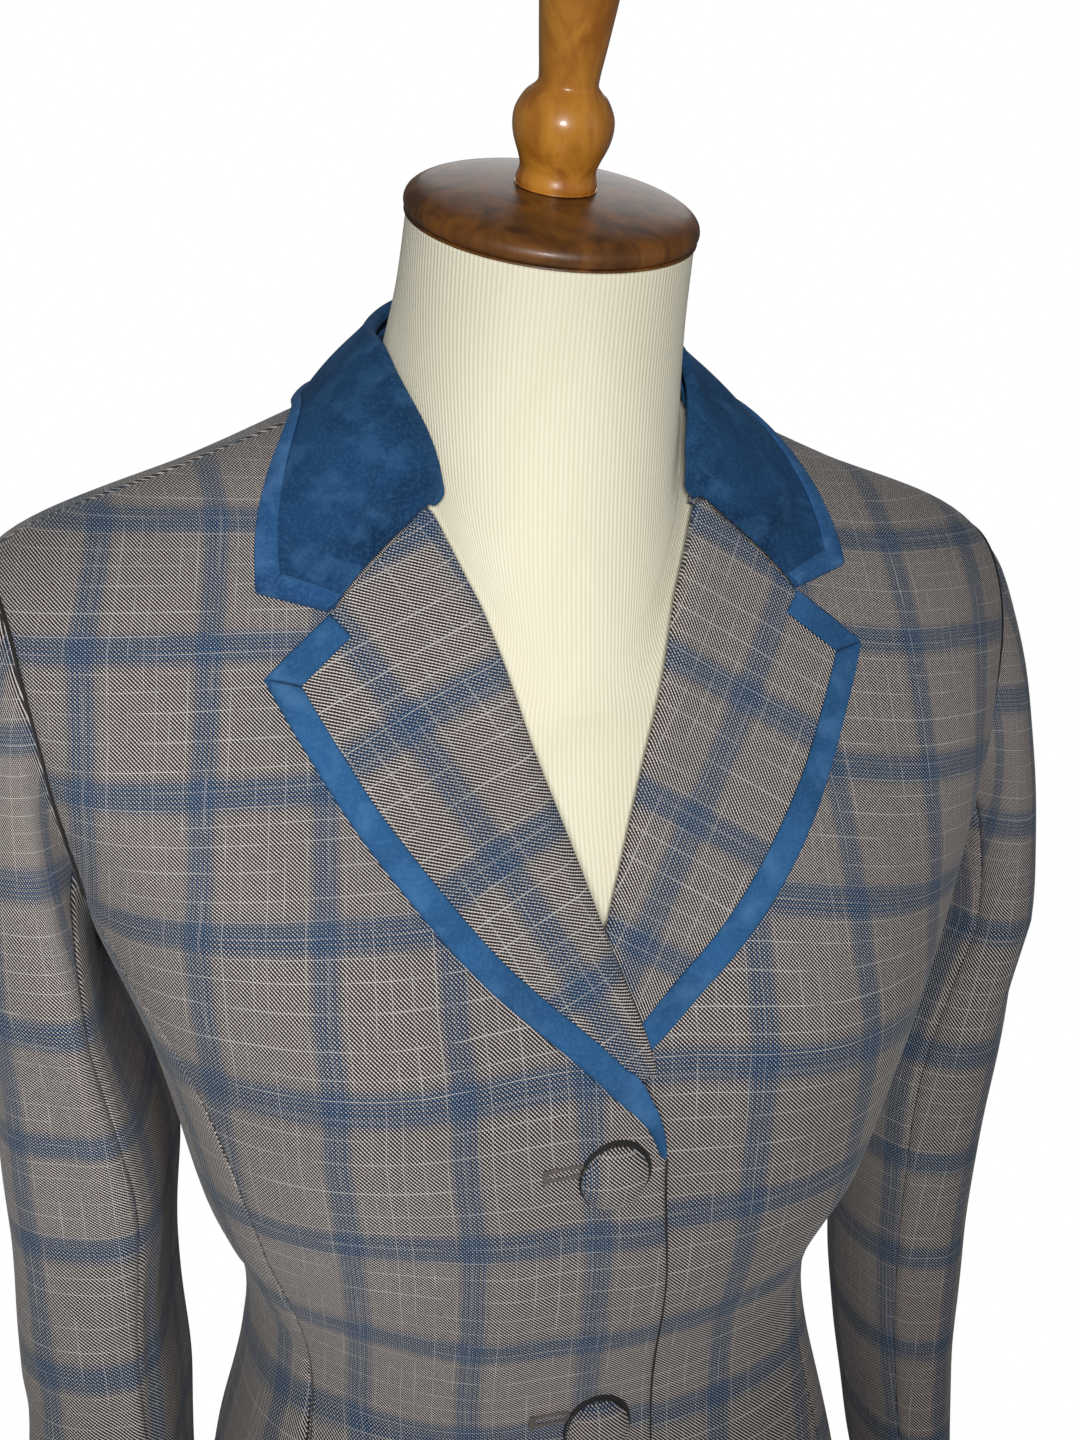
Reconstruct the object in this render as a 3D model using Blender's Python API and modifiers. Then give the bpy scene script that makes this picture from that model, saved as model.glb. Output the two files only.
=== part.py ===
"""Plaid show coat with a velvet collar, worn on a limbless dress form that stands on a round base.

Frame: metres, +Z up, front towards -Y, +X to the wearer's left, origin on the floor under the
middle of the base. The coat is cut and sewn: every piece is one open sheet laid on the coat's form
and given its cloth's thickness, and pieces meet at seams with a hair of air between them.
"""

import math
from collections import namedtuple

import bmesh
import bpy
from mathutils import Matrix, Vector

# Cloth and seams
CLOTH = 0.0016              # wall of the wool twill, with its interlining
VELVET = 0.0020             # wall of the collar's fall
STAND_WALL = 0.0012         # and of its stand
GAP = 0.0003                # air between neighbouring pieces
SEAM = 0.0009               # air across a seam, at the outer face

# The coat's form: rings from the hem up to the neckline
Ring = namedtuple("Ring", "wide front back mid_y side_z front_z back_z square")
HEM, HIP, HIGH_HIP, WAIST, MIDRIFF, BUST, UNDERARM, CHEST, SHOULDER, YOKE, NECK = range(11)
COAT = (
    #    wide   front  back   mid_y  side_z front_z back_z square
    Ring(0.176, 0.142, 0.150, 0.000, 0.165, 0.165, 0.165, 2.1),     # hem
    Ring(0.160, 0.123, 0.130, 0.000, 0.250, 0.245, 0.250, 2.1),     # hip
    Ring(0.139, 0.103, 0.110, 0.000, 0.335, 0.325, 0.335, 2.3),     # high hip
    Ring(0.119, 0.088, 0.084, 0.000, 0.430, 0.408, 0.430, 2.5),     # waist
    Ring(0.139, 0.106, 0.089, 0.000, 0.495, 0.487, 0.495, 2.8),     # midriff
    Ring(0.159, 0.113, 0.098, 0.000, 0.570, 0.560, 0.572, 2.9),     # bust
    Ring(0.178, 0.107, 0.104, 0.001, 0.620, 0.597, 0.628, 3.0),     # underarm
    Ring(0.200, 0.101, 0.106, 0.003, 0.690, 0.632, 0.692, 3.1),     # chest
    Ring(0.204, 0.096, 0.096, 0.008, 0.750, 0.660, 0.752, 2.5),     # shoulder point
    Ring(0.134, 0.090, 0.080, 0.008, 0.781, 0.681, 0.794, 2.1),     # half way to the neck
    Ring(0.064, 0.085, 0.062, 0.004, 0.808, 0.697, 0.824, 2.0),     # neckline
)
BUST_AT = (0.088, 0.580)    # x and z of the fullest point of each front
BUST_FULL = 0.010
BUST_SPREAD = (0.045, 0.055)


def lerp(a, b, t):
    return a + (b - a) * t


def spline(values, place):
    """Value of a smooth curve through evenly spaced values at a place between 0 and their count - 1."""
    last = len(values) - 1
    place = min(max(place, 0.0), float(last))
    index = min(int(place), last - 1)
    t = place - index
    before = values[max(index - 1, 0)]
    start, end = values[index], values[index + 1]
    after = values[min(index + 2, last)]
    slope_in = (end - before) / 2
    slope_out = (after - start) / 2
    return ((2 * t ** 3 - 3 * t ** 2 + 1) * start + (t ** 3 - 2 * t ** 2 + t) * slope_in
            + (3 * t ** 2 - 2 * t ** 3) * end + (t ** 3 - t ** 2) * slope_out)


def ring_at(table, level):
    """The ring of a form between two rows of its table."""
    return Ring(*(spline([getattr(row, column) for row in table], level) for column in Ring._fields))


def signed_power(value, power):
    return math.copysign(abs(value) ** power, value)


def ring_point(ring, angle, rise=2.0):
    """Point of a ring at an angle: 0 at the wearer's left, -90 degrees in front, 90 at the back."""
    across, along = math.cos(angle), math.sin(angle)
    power = 2 / ring.square
    depth, end_z = (ring.front, ring.front_z) if along < 0 else (ring.back, ring.back_z)
    return Vector((ring.wide * signed_power(across, power),
                   ring.mid_y + depth * signed_power(along, power),
                   lerp(ring.side_z, end_z, abs(along) ** rise)))


def bust(point):
    """How far the front swells at a point over the bust."""
    if point.y > 0:
        return 0.0
    off = ((abs(point.x) - BUST_AT[0]) / BUST_SPREAD[0], (point.z - BUST_AT[1]) / BUST_SPREAD[1])
    return BUST_FULL * math.exp(-off[0] ** 2 - off[1] ** 2)


def coat_surface(angle, level):
    point = ring_point(ring_at(COAT, level), angle)
    return point - Vector((0, bust(point), 0))


def coat_normal(angle, level):
    step = 0.01
    low, high = max(level - step, 0), min(level + step, NECK)
    around = coat_surface(angle + step, level) - coat_surface(angle - step, level)
    upward = coat_surface(angle, high) - coat_surface(angle, low)
    return around.cross(upward).normalized()


def coat_point(angle, level, lift=0.0):
    """Point of the coat's outer face, moved out by lift."""
    point = coat_surface(angle, level)
    return point + coat_normal(angle, level) * lift if lift else point


def front_place(x, z):
    """Angle and level of the point of the front that lies at x and z."""
    low, high = float(HEM), float(NECK)
    for _ in range(30):
        level = (low + high) / 2
        angle = front_angle(x, level)
        if coat_surface(angle, level).z < z:
            low = level
        else:
            high = level
    return front_angle(x, low), low


def front_angle(x, level):
    ring = ring_at(COAT, level)
    across = min(abs(x) / ring.wide, 1.0) ** (ring.square / 2)
    return -math.acos(math.copysign(across, x))


def side_place(y, z):
    """Angle and level of the point of the wearer's left side that lies at y and z."""
    low, high = float(MIDRIFF), float(SHOULDER) + 0.4
    for _ in range(30):
        level = (low + high) / 2
        angle = side_angle(y, level)
        if coat_surface(angle, level).z < z:
            low = level
        else:
            high = level
    return side_angle(y, low), low


def side_angle(y, level):
    ring = ring_at(COAT, level)
    depth = ring.back if y > ring.mid_y else ring.front
    along = min(abs(y - ring.mid_y) / depth, 1.0) ** (ring.square / 2)
    return math.asin(math.copysign(along, y - ring.mid_y))


# Outlines of the front, as x and z on its own side: negative x is past the middle
ROLL_LINE = ((-0.021, 0.536), (-0.0165, 0.556), (-0.0110, 0.580), (0.003, 0.620), (0.0145, 0.655),
             (0.025, 0.688), (0.0365, 0.728), (0.044, 0.750), (0.052, 0.768))
LAPEL_EDGE = ((-0.021, 0.534), (-0.007, 0.550), (0.010, 0.568), (0.030, 0.588), (0.049, 0.610),
              (0.067, 0.6345), (0.0885, 0.663), (0.1065, 0.694), (0.116, 0.7135))
GORGE_SEAM = ((0.052, 0.768), (0.068, 0.759), (0.082, 0.746), (0.0895, 0.7345))
LAPEL_TIP = LAPEL_EDGE[-1]
COLLAR_TIP = (0.115, 0.7415)
OVERLAP = 0.021             # each front passes the middle by this much at the break
SLANT = 0.008               # and by this much more from the waist down
BREAK_Z = 0.540             # the front edge turns into the roll line here

# Seams, as angle in degrees for each level of the coat
FRONT_SEAM = ((0, -38), (1, -37), (2, -34), (3, -31), (3.7, -31.5), (4.4, -29), (5, -24.5),
              (5.6, -18), (6.02, -13.5))
BACK_SEAM = ((0, 44), (1, 43), (2, 42), (3, 44), (4, 42), (5, 33), (5.6, 24), (6.1, 17))

# The armhole, seen from the side: an egg about its middle
ARMHOLE_MID = (0.006, 0.678)            # y and z
ARMHOLE_REACH = (0.056, 0.064, 0.0718, 0.070)   # to the front, the back, up and down
ARMHOLE_SQUARE = 2.15

# The sleeve's rings below the armhole
Cuff = namedtuple("Cuff", "z mid_x mid_y half_x half_y turn")
SLEEVE = (
    #    z      mid_x  mid_y   half_x half_y turn in degrees
    Cuff(0.585, 0.1920, -0.013, 0.0240, 0.057, 13),     # upper arm
    Cuff(0.520, 0.1810, -0.009, 0.0320, 0.056, 13),
    Cuff(0.455, 0.1785, -0.007, 0.0340, 0.053, 13),
    Cuff(0.385, 0.1785, -0.010, 0.0345, 0.050, 12),     # elbow
    Cuff(0.305, 0.1865, -0.018, 0.0325, 0.047, 13),
    Cuff(0.228, 0.1985, -0.027, 0.0295, 0.044, 13),
    Cuff(0.150, 0.2110, -0.036, 0.0280, 0.041, 13),     # cuff
)
LEFT_SWING = (0.015, 0.002)     # how much further out the wearer's left sleeve hangs, top and cuff
FRONT_SLEEVE_SEAM = 118     # degrees from the top of the sleeve, over its front
BACK_SLEEVE_SEAM = -112     # the same, over its back

# Lapels, collar and bindings
ROLL_SETBACK = 0.0032       # the front's own edge stops this far outside the roll line
LAPEL_LIFT = 0.0037         # outer face of a lapel above its front, at its edge
ROLL_LIFT = 0.0058          # the same, beside the roll
BAND_WIDE = 0.0095
BAND_WALL = 0.0012
BAND_OVER = 0.0009          # air under a binding, more than a facet's rise
LEFT_FULL = 0.009           # how much fuller the coat hangs at the wearer's left of the bust
UNDERLAP_DROP = 0.0023      # the left front goes under the right one by this much
CROSSING_DROP = 0.0100      # and its lapel under the right lapel

# The collar, from the middle of the back to its front end on the wearer's left
Station = namedtuple("Station", "foot edge edge_level stand")
COLLAR = (
    #       foot  edge (degrees)  level  stand
    Station(90.0, 90.0, 9.40, 0.030),       # middle of the back
    Station(66.0, 64.0, 9.42, 0.030),
    Station(42.0, 40.0, 9.47, 0.029),
    Station(18.0, 18.0, 9.53, 0.027),       # behind the shoulder seam
    Station(-4.0, -4.0, 9.52, 0.022),       # before it
    Station(-22.0, -20.0, 9.27, 0.014),
    Station(-36.3, -36.0, 8.80, 0.0015),    # front end
)

# The buttons: x, z and the air under each, a little more than a facet's rise
BUTTONS = ((0.0, 0.531, 4 * GAP), (0.0045, 0.4025, 4 * GAP), (0.0055, 0.2740, 1.2 * GAP))
BUTTON_R = 0.0134
BUTTON_HIGH = 0.0062

# The dress form and its stand
NECK_TILT = math.radians(19.5)
CAP_TOP = Vector((0, -0.031, 0.880))
CAP_R = 0.0545
CAP_THICK = 0.010
CAP_DOME = 0.0035
FORM_FLOOR = 0.195
BASE_R, BASE_HIGH = 0.165, 0.018
POLE_R = 0.013
# How far the form lies inside the coat's outer face, level by level
EASE_SIDE = (0.028, 0.012, 0.010, 0.0085, 0.008, 0.008, 0.010, 0.012, 0.0090, 0.0023, 0.0024)
EASE_FRONT = (0.028, 0.014, 0.013, 0.013, 0.014, 0.016, 0.018, 0.017, 0.015, 0.012, 0.010)
EASE_BACK = (0.028, 0.012, 0.010, 0.0085, 0.008, 0.008, 0.008, 0.008, 0.0070, 0.0060, 0.0055)
NECK_RINGS = (
    #    wide    front  back   mid_y   side_z front_z back_z square
    Ring(0.0600, 0.0700, 0.0560, 0.000, 0.8060, 0.7000, 0.8200, 2.0),
    Ring(0.0570, 0.0600, 0.0520, -0.007, 0.8230, 0.7600, 0.8390, 2.0),
    Ring(0.0545, 0.0520, 0.0515, -0.0175, 0.8440, 0.8130, 0.8620, 2.0),
    Ring(0.0532, 0.0501, 0.0501, -0.0274, 0.8699, 0.8521, 0.8877, 2.0),
)

LOOKS = {
    #            colour in linear light      roughness
    "wool": ((0.235, 0.212, 0.200, 1.0), 0.85),
    "velvet": ((0.013, 0.052, 0.140, 1.0), 0.70),
    "binding": ((0.028, 0.110, 0.290, 1.0), 0.75),
    "jersey": ((0.760, 0.720, 0.560, 1.0), 0.90),
    "walnut": ((0.085, 0.032, 0.014, 1.0), 0.35),
    "maple": ((0.370, 0.140, 0.030, 1.0), 0.40),
}


def finish(name):
    """The material of that name, made once."""
    found = bpy.data.materials.get(name)
    if found:
        return found
    material = bpy.data.materials.new(name)
    material.use_nodes = True
    colour, roughness = LOOKS[name]
    surface = material.node_tree.nodes["Principled BSDF"]
    surface.inputs["Base Color"].default_value = colour
    surface.inputs["Roughness"].default_value = roughness
    surface.inputs["Metallic"].default_value = 0.0
    material.diffuse_color = colour
    return material


def add_object(name, mesh, look):
    body = bpy.data.objects.new(name, mesh)
    mesh.materials.append(finish(look))
    bpy.data.collections["show_coat"].objects.link(body)
    return body


def sheet(name, place, columns, rows, wall, look, side=1):
    """One cut piece: a grid laid on place(u, v), mirrored for the wearer's right, given its wall.

    place gives the outer face, with u to the left of v as seen from outside.
    """
    mesh = bpy.data.meshes.new(name)
    grid = bmesh.new()
    bmesh.ops.create_grid(grid, x_segments=columns, y_segments=rows, size=0.5)
    for vertex in grid.verts:
        point = place(round(vertex.co.x + 0.5, 6), round(vertex.co.y + 0.5, 6))
        vertex.co = Vector((side * point.x, point.y, point.z))
    if side < 0:
        bmesh.ops.reverse_faces(grid, faces=grid.faces)
    grid.to_mesh(mesh)
    grid.free()
    mesh.shade_smooth()
    piece = add_object(name, mesh, look)
    thickness = piece.modifiers.new("cloth", "SOLIDIFY")
    thickness.thickness = wall
    thickness.offset = -1
    return piece


def turned(name, profile, look, segments=32):
    """A round piece from a profile of radius and height that runs top to bottom."""
    mesh = bpy.data.meshes.new(name)
    mesh.from_pydata([(r, 0, z) for r, z in profile], [(i, i + 1) for i in range(len(profile) - 1)], [])
    piece = add_object(name, mesh, look)
    screw = piece.modifiers.new("turn", "SCREW")
    screw.steps = screw.render_steps = segments
    screw.use_merge_vertices = True
    screw.merge_threshold = 0.00001
    return piece


def between(rows, place):
    """Value at a place from 0 to 1 along evenly numbered rows, straight from row to row."""
    spot = place * (len(rows) - 1)
    index = min(int(spot), len(rows) - 2)
    return lerp(rows[index], rows[index + 1], spot - index)


def smooth(low, high, value):
    t = min(max((value - low) / (high - low), 0.0), 1.0)
    return t * t * (3 - 2 * t)


def follow(track, level):
    """Angle of a track of (level, angle) pairs where it passes a level."""
    for (low, low_angle), (high, high_angle) in zip(track, track[1:]):
        if level <= high:
            return lerp(low_angle, high_angle, max(level - low, 0) / (high - low))
    return track[-1][1]


def fine_track(pairs, steps=6):
    """A seam's (level, angle in degrees) pairs as a smooth track in radians."""
    count = (len(pairs) - 1) * steps
    places = [index / steps for index in range(count + 1)]
    levels = [pair[0] for pair in pairs]
    angles = [math.radians(pair[1]) for pair in pairs]
    return [(spline(levels, place), spline(angles, place)) for place in places]


def path_point(path, place):
    """Point (x, z) of a smooth path at a place from 0 to 1 of its length in points."""
    spot = place * (len(path) - 1)
    return (spline([p[0] for p in path], spot), spline([p[1] for p in path], spot))


def armhole_place(turn):
    """Angle and level of the armhole's point at a turn: 0 at the top, 90 degrees at the front."""
    across, up = math.sin(turn), math.cos(turn)
    ahead, behind, above, below = ARMHOLE_REACH
    power = 2 / ARMHOLE_SQUARE
    y = ARMHOLE_MID[0] - (ahead if across > 0 else behind) * signed_power(across, power)
    z = ARMHOLE_MID[1] + (above if up > 0 else below) * signed_power(up, power)
    return side_place(y, z)


def armhole_turn_on(seam, first, last):
    """The turn at which a seam meets the armhole."""
    low, high = math.radians(first), math.radians(last)
    for _ in range(30):
        turn = (low + high) / 2
        angle, level = armhole_place(turn)
        if abs(angle) > abs(follow(seam, level)):
            low = turn
        else:
            high = turn
    return low


def drop(x, z):
    """How far the wearer's left front lies under the right one, at its own x and z."""
    depth = lerp(UNDERLAP_DROP, CROSSING_DROP, smooth(0.455, 0.540, z) * (1 - smooth(0.630, 0.710, z)))
    return depth * (1 - smooth(0.014, 0.090, x))


def hang(point, side):
    """The wearer's left half of the coat hangs a little fuller beside the bust than the right."""
    if side < 0:
        return point
    reach = smooth(0.06, 0.14, point.x) * smooth(0.40, 0.50, point.z) * (1 - smooth(0.58, 0.70, point.z))
    return point + Vector((LEFT_FULL * reach, 0, 0))


def front_point(x, z, lift, side):
    angle, level = front_place(x, z)
    return hang(coat_point(angle, level, lift - (drop(x, z) if side > 0 else 0)), side)


def roll_x(z):
    low, high = 0.0, 1.0
    for _ in range(30):
        place = (low + high) / 2
        if path_point(ROLL_LINE, place)[1] < z:
            low = place
        else:
            high = place
    return path_point(ROLL_LINE, low)[0]


def front_edge_track():
    """The front's free edge: past the middle up to the break, then just outside the roll line."""
    track = []
    for z in (0.165, 0.20, 0.25, 0.30, 0.35, 0.40, 0.45, 0.50, BREAK_Z - 0.006):
        angle, level = front_place(-OVERLAP - SLANT * (1 - smooth(0.440, BREAK_Z, z)), z)
        track.append((level, angle))
    steps = 16
    for index in range(1, steps + 1):
        x, z = path_point(ROLL_LINE, index / steps)
        angle, level = front_place(x + ROLL_SETBACK * smooth(0, 0.2, index / steps), z)
        track.append((level, angle))
    return track


LOWER_LEVELS = (0, 0.7, 1.4, 2.1, 2.7, 3.2, 3.7, 4.2, 4.6, 4.95)     # rows that all panels share
UNDERARM_ROWS = 3           # rows from there up to where a seam meets the armhole
HEAD_STEPS = 8              # rows from each of the sleeve's seams up to the armhole's top
FRONT_COLUMNS, SIDE_COLUMNS, BACK_COLUMNS = 10, 6, 7
FRONT_CROWD = 1.2
SHOULDER_LEVELS = (8.4, 8.8, 9.2, 9.6, 10)


NARROWEST_ROW = 0.004       # a row is never counted as narrower when its seams' air is shared out


def row_width(start, end, level):
    """Length of a row between two angles, for its seams' share of air."""
    steps = 6
    points = [coat_surface(lerp(start, end, i / steps), level) for i in range(steps + 1)]
    return max(sum((b - a).length for a, b in zip(points, points[1:])), NARROWEST_ROW)


def armhole_meets():
    """Turns at which the front and the back seam meet the armhole, on the underarm's side."""
    return (armhole_turn_on(fine_track(FRONT_SEAM), 90, 180),
            2 * math.pi + armhole_turn_on(fine_track(BACK_SEAM), -90, -180))


def underarm_levels(top):
    steps = range(1, UNDERARM_ROWS + 1)
    return LOWER_LEVELS + tuple(lerp(LOWER_LEVELS[-1], top, step / UNDERARM_ROWS) for step in steps)


def outer_edge(seam, meets, sleeve_seam):
    """Rows of a panel's outer edge, as (level, angle): up its seam, round the armhole, up the shoulder."""
    rows = [(level, follow(seam, level)) for level in underarm_levels(armhole_place(meets)[1])]
    turns = [math.radians(sleeve_seam) * (1 - step / HEAD_STEPS) for step in range(HEAD_STEPS + 1)]
    rows += [(level, angle) for angle, level in map(armhole_place, turns)]
    return rows + [(level, 0.0) for level in SHOULDER_LEVELS]


def add_panel(name, rows, columns, side, lowered=None, crowd=1.0):
    """A panel whose rows each run from one angle to another at a level, crowded to their start."""
    def place(u, v):
        level, start, end = rows[round(v * (len(rows) - 1))]
        inset = SEAM / 2 / row_width(start, end, level)
        angle = lerp(start, end, lerp(inset, 1 - inset, u ** crowd))
        height = min(level, NECK - 0.004)
        point = coat_point(angle, height)
        if lowered and side > 0:
            point = coat_point(angle, height, -lowered(point))
        return hang(point, side)
    sheet(name, place, columns, len(rows) - 1, CLOTH, "wool", side)


def add_fronts_sides_backs(side, word):
    front_seam, back_seam = fine_track(FRONT_SEAM), fine_track(BACK_SEAM)
    front_meets, back_meets = armhole_meets()
    edge = front_edge_track()
    front = [(level, follow(edge, level), angle)
             for level, angle in outer_edge(front_seam, front_meets, FRONT_SLEEVE_SEAM)]
    back = [(level, angle, math.pi / 2)
            for level, angle in outer_edge(back_seam, back_meets, BACK_SLEEVE_SEAM)]
    add_panel("front_" + word, front, FRONT_COLUMNS, side,
              lambda p: drop(p.x, p.z) if p.y < 0 else 0, FRONT_CROWD)
    add_panel("back_" + word, back, BACK_COLUMNS, side)
    rows = len(underarm_levels(0)) - 1

    def side_piece(u, v):
        angle, top = armhole_place(lerp(front_meets, back_meets, u))
        share = (angle - follow(front_seam, top)) / (follow(back_seam, top) - follow(front_seam, top))
        level = underarm_levels(top - SIDE_BELOW)[round(v * rows)]
        start, end = follow(front_seam, level), follow(back_seam, level)
        inset = SEAM / 2 / row_width(start, end, level)
        return hang(coat_point(lerp(start, end, lerp(inset, 1 - inset, share)), level), side)
    sheet("side_" + word, side_piece, SIDE_COLUMNS, rows, CLOTH, "wool", side)


SIDE_BELOW = 0.006          # the side's top edge stays this much of a level under the sleeve


def sleeve_ring_point(ring, turn):
    """Point of a sleeve's ring: turn 0 on its outer side, 90 degrees at the front."""
    x, y = ring.half_x * math.cos(turn), -ring.half_y * math.sin(turn)
    twist = math.radians(ring.turn)
    return Vector((ring.mid_x + x * math.cos(twist) + y * math.sin(twist),
                   ring.mid_y - x * math.sin(twist) + y * math.cos(twist), ring.z))


HEAD_ROWS = (0, 0.07, 0.16, 0.30, 0.50, 0.75, 1.0)
HEAD_OUT, HEAD_OUT_TOP = 0.012, 0.030   # how strongly the head leaves its seam outwards, more at the top
HEAD_IN, HEAD_DOWN = 0.006, 1.15        # and how it comes down into the first ring
SLEEVE_SEAM_INSET = 0.016   # radians from a sleeve's seam to the edge of each of its pieces


def sleeve_point(turn, v, side):
    """Outer face of the sleeve: v from 0 to 1 is its head, and each whole number more is a ring."""
    swing = LEFT_SWING if side > 0 else (0.0, 0.0)
    if v >= 1:
        ring = Cuff(*(spline([getattr(row, column) for row in SLEEVE], v - 1) for column in Cuff._fields))
        return sleeve_ring_point(ring, turn) + Vector((lerp(*swing, (v - 1) / (len(SLEEVE) - 1)), 0, 0))
    angle, level = armhole_place(turn)
    seam = hang(coat_point(angle, level, 2 * GAP), side)
    middle = Vector((seam.x, ARMHOLE_MID[0], ARMHOLE_MID[1]))
    start = seam + (middle - seam).normalized() * SEAM
    end = sleeve_ring_point(SLEEVE[0], turn) + Vector((swing[0], 0, 0))
    reach = (end - start).length
    out = Vector((HEAD_OUT + (HEAD_OUT_TOP + swing[0]) * math.cos(turn / 2) ** 2, 0, 0))
    down = Vector((-HEAD_IN, 0, -HEAD_DOWN * reach))
    t = v
    return ((2 * t ** 3 - 3 * t ** 2 + 1) * start + (t ** 3 - 2 * t ** 2 + t) * out
            + (3 * t ** 2 - 2 * t ** 3) * end + (t ** 3 - t ** 2) * down)


def add_sleeves(side, word):
    rows = HEAD_ROWS + tuple(range(2, len(SLEEVE) + 1))
    front, back = math.radians(FRONT_SLEEVE_SEAM), math.radians(BACK_SLEEVE_SEAM)
    front_meets, back_meets = armhole_meets()
    shares = [step / HEAD_STEPS for step in range(1, HEAD_STEPS)]
    top = [back] + [back * (1 - t) for t in shares] + [0.0] + [front * t for t in shares] + [front]
    under = [lerp(front_meets, back_meets, step / SIDE_COLUMNS) for step in range(SIDE_COLUMNS + 1)]
    under = [front] + under + [back + 2 * math.pi]
    for name, turns in (("sleeve_top_", top), ("sleeve_under_", under)):
        turns[0] += SLEEVE_SEAM_INSET
        turns[-1] -= SLEEVE_SEAM_INSET

        def place(u, v, turns=turns):
            return sleeve_point(turns[round(u * (len(turns) - 1))], between(rows, v), side)
        sheet(name + word, place, len(turns) - 1, len(rows) - 1, CLOTH, "wool", side)


# A lapel across, from its roll line outwards: distance from the line and lift of its outer face
ROLL_SHAPE = ((0.0008, 0.0002), (-0.0012, 0.0020), (0.0002, 0.0040), (0.0040, ROLL_LIFT))


def lapel_row(v):
    """The two ends of a lapel's row, from the roll line to its edge, at v from foot to gorge."""
    start = LAPEL_START + (1 - LAPEL_START) * v
    return path_point(ROLL_LINE, start), path_point(LAPEL_EDGE, start)


LAPEL_START = 0.20          # the lapel's foot, as a share of the roll line's length
LAPEL_ROWS, LAPEL_COLUMNS = 14, 4


def gorge_drop(u, v):
    """How far a lapel's rows bow up from the straight line between their ends, near the gorge."""
    (x0, z0), (x1, z1) = GORGE_SEAM[0], LAPEL_TIP
    x = lerp(x0, x1, u)
    top = GORGE_SEAM + (LAPEL_TIP,)
    for (xa, za), (xb, zb) in zip(top, top[1:]):
        if x <= xb:
            return (lerp(za, zb, (x - xa) / (xb - xa)) - lerp(z0, z1, u)) * v ** 3
    return 0.0


def lapel_lift(off, width):
    """Lift of a lapel's outer face at a distance from its roll line, in a row of this width."""
    full = lerp(ROLL_LIFT, LAPEL_LIFT, smooth(0.006, 0.045, off))
    return lerp(LAPEL_LIFT, full, smooth(0.004, 0.030, width))


def lapel_point(u, v, side):
    (x0, z0), (x1, z1) = lapel_row(v)
    width = math.hypot(x1 - x0, z1 - z0)
    x, z = lerp(x0, x1, u), lerp(z0, z1, u) + gorge_drop(u, v)
    return front_point(x, z, lapel_lift(u * width, width), side)


def add_lapel(side, word):
    roll = len(ROLL_SHAPE)
    columns = roll + LAPEL_COLUMNS

    def place(u, v):
        step = round(u * columns)
        (x0, z0), (x1, z1) = lapel_row(v)
        width = math.hypot(x1 - x0, z1 - z0)
        if step < roll:
            off, lift = ROLL_SHAPE[step]
            shrink = smooth(0.002, 0.030, width)
            off = lerp(0.0006 * step, off, shrink)
            lift = lerp(LAPEL_LIFT, lift, shrink)
            z = z0 + gorge_drop(0.02 * step, v) - 0.0002
            return front_point(x0 + off, z, lift, side)
        share = (step - roll + 1) / (columns - roll + 1)
        near = min(0.006 / width, 0.3)
        u_in = lerp(near, 1 - 0.0008 / width, share)
        point = lapel_point(u_in, v, side)
        return point if v < 1 else lerp(point, lapel_point(u_in, 0.97, side), 0.05)
    sheet("lapel_" + word, place, columns, LAPEL_ROWS, CLOTH, "wool", side)


def inset_path(path, wide):
    """A path's points moved to its left by a width, with mitred corners."""
    moved = []
    for index, (x, z) in enumerate(path):
        ways = []
        for a, b in ((index - 1, index), (index, index + 1)):
            if a >= 0 and b < len(path):
                dx, dz = path[b][0] - path[a][0], path[b][1] - path[a][1]
                length = math.hypot(dx, dz)
                ways.append((-dz / length, dx / length))
        nx = sum(w[0] for w in ways) / len(ways)
        nz = sum(w[1] for w in ways) / len(ways)
        size = nx * nx + nz * nz
        moved.append((x + nx / size * wide, z + nz / size * wide))
    return moved


def add_lapel_binding(side, word):
    steps = 15
    first = 0 if side < 0 else 4        # the left one ends under the right front
    edge = [path_point(LAPEL_EDGE, index / steps) for index in (first,) + tuple(range(first + 2, steps + 1))]
    top = [(lerp(LAPEL_TIP[0], GORGE_SEAM[-1][0], t), lerp(LAPEL_TIP[1], GORGE_SEAM[-1][1], t))
           for t in (0.5, 0.985)]
    outer = edge + top
    inner = inset_path(outer, BAND_WIDE)
    if side < 0:
        inner[0] = (0.0005 - OVERLAP, 0.549)
    rows = len(outer) - 1

    def place(u, v):
        index = round(v * rows)
        (x0, z0), (x1, z1) = inner[index], outer[index]
        x, z = lerp(x0, x1, u), lerp(z0, z1, u)
        roll, edge_end = lapel_row(min((first + index + 1) / steps, 1.0))
        width = math.hypot(edge_end[0] - roll[0], edge_end[1] - roll[1])
        off = max(x - roll_x(min(z, 0.768)), 0.0)
        return front_point(x, z, lapel_lift(off, width) + BAND_WALL + BAND_OVER, side)
    sheet("lapel_binding_" + word, place, 2, rows, BAND_WALL, "binding", side)


def collar_row(w):
    """The collar's measures at w: 0 in the middle of the back, 1 at its front end."""
    spot = w * (len(COLLAR) - 1)
    return Station(*(spline([getattr(row, column) for row in COLLAR], spot) for column in Station._fields))


def collar_end(t):
    """x and z of the collar's front end at t: down the gorge seam to the notch, then to the tip."""
    notch, tip = GORGE_SEAM[-1], COLLAR_TIP
    if t < NOTCH_SHARE:
        x, z = path_point(GORGE_SEAM, t / NOTCH_SHARE)
        return x + 0.0003, z + 0.0004
    share = (t - NOTCH_SHARE) / (1 - NOTCH_SHARE)
    return lerp(notch[0] + 0.0003, tip[0], share), lerp(notch[1] + 0.0004, tip[1], share)


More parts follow.
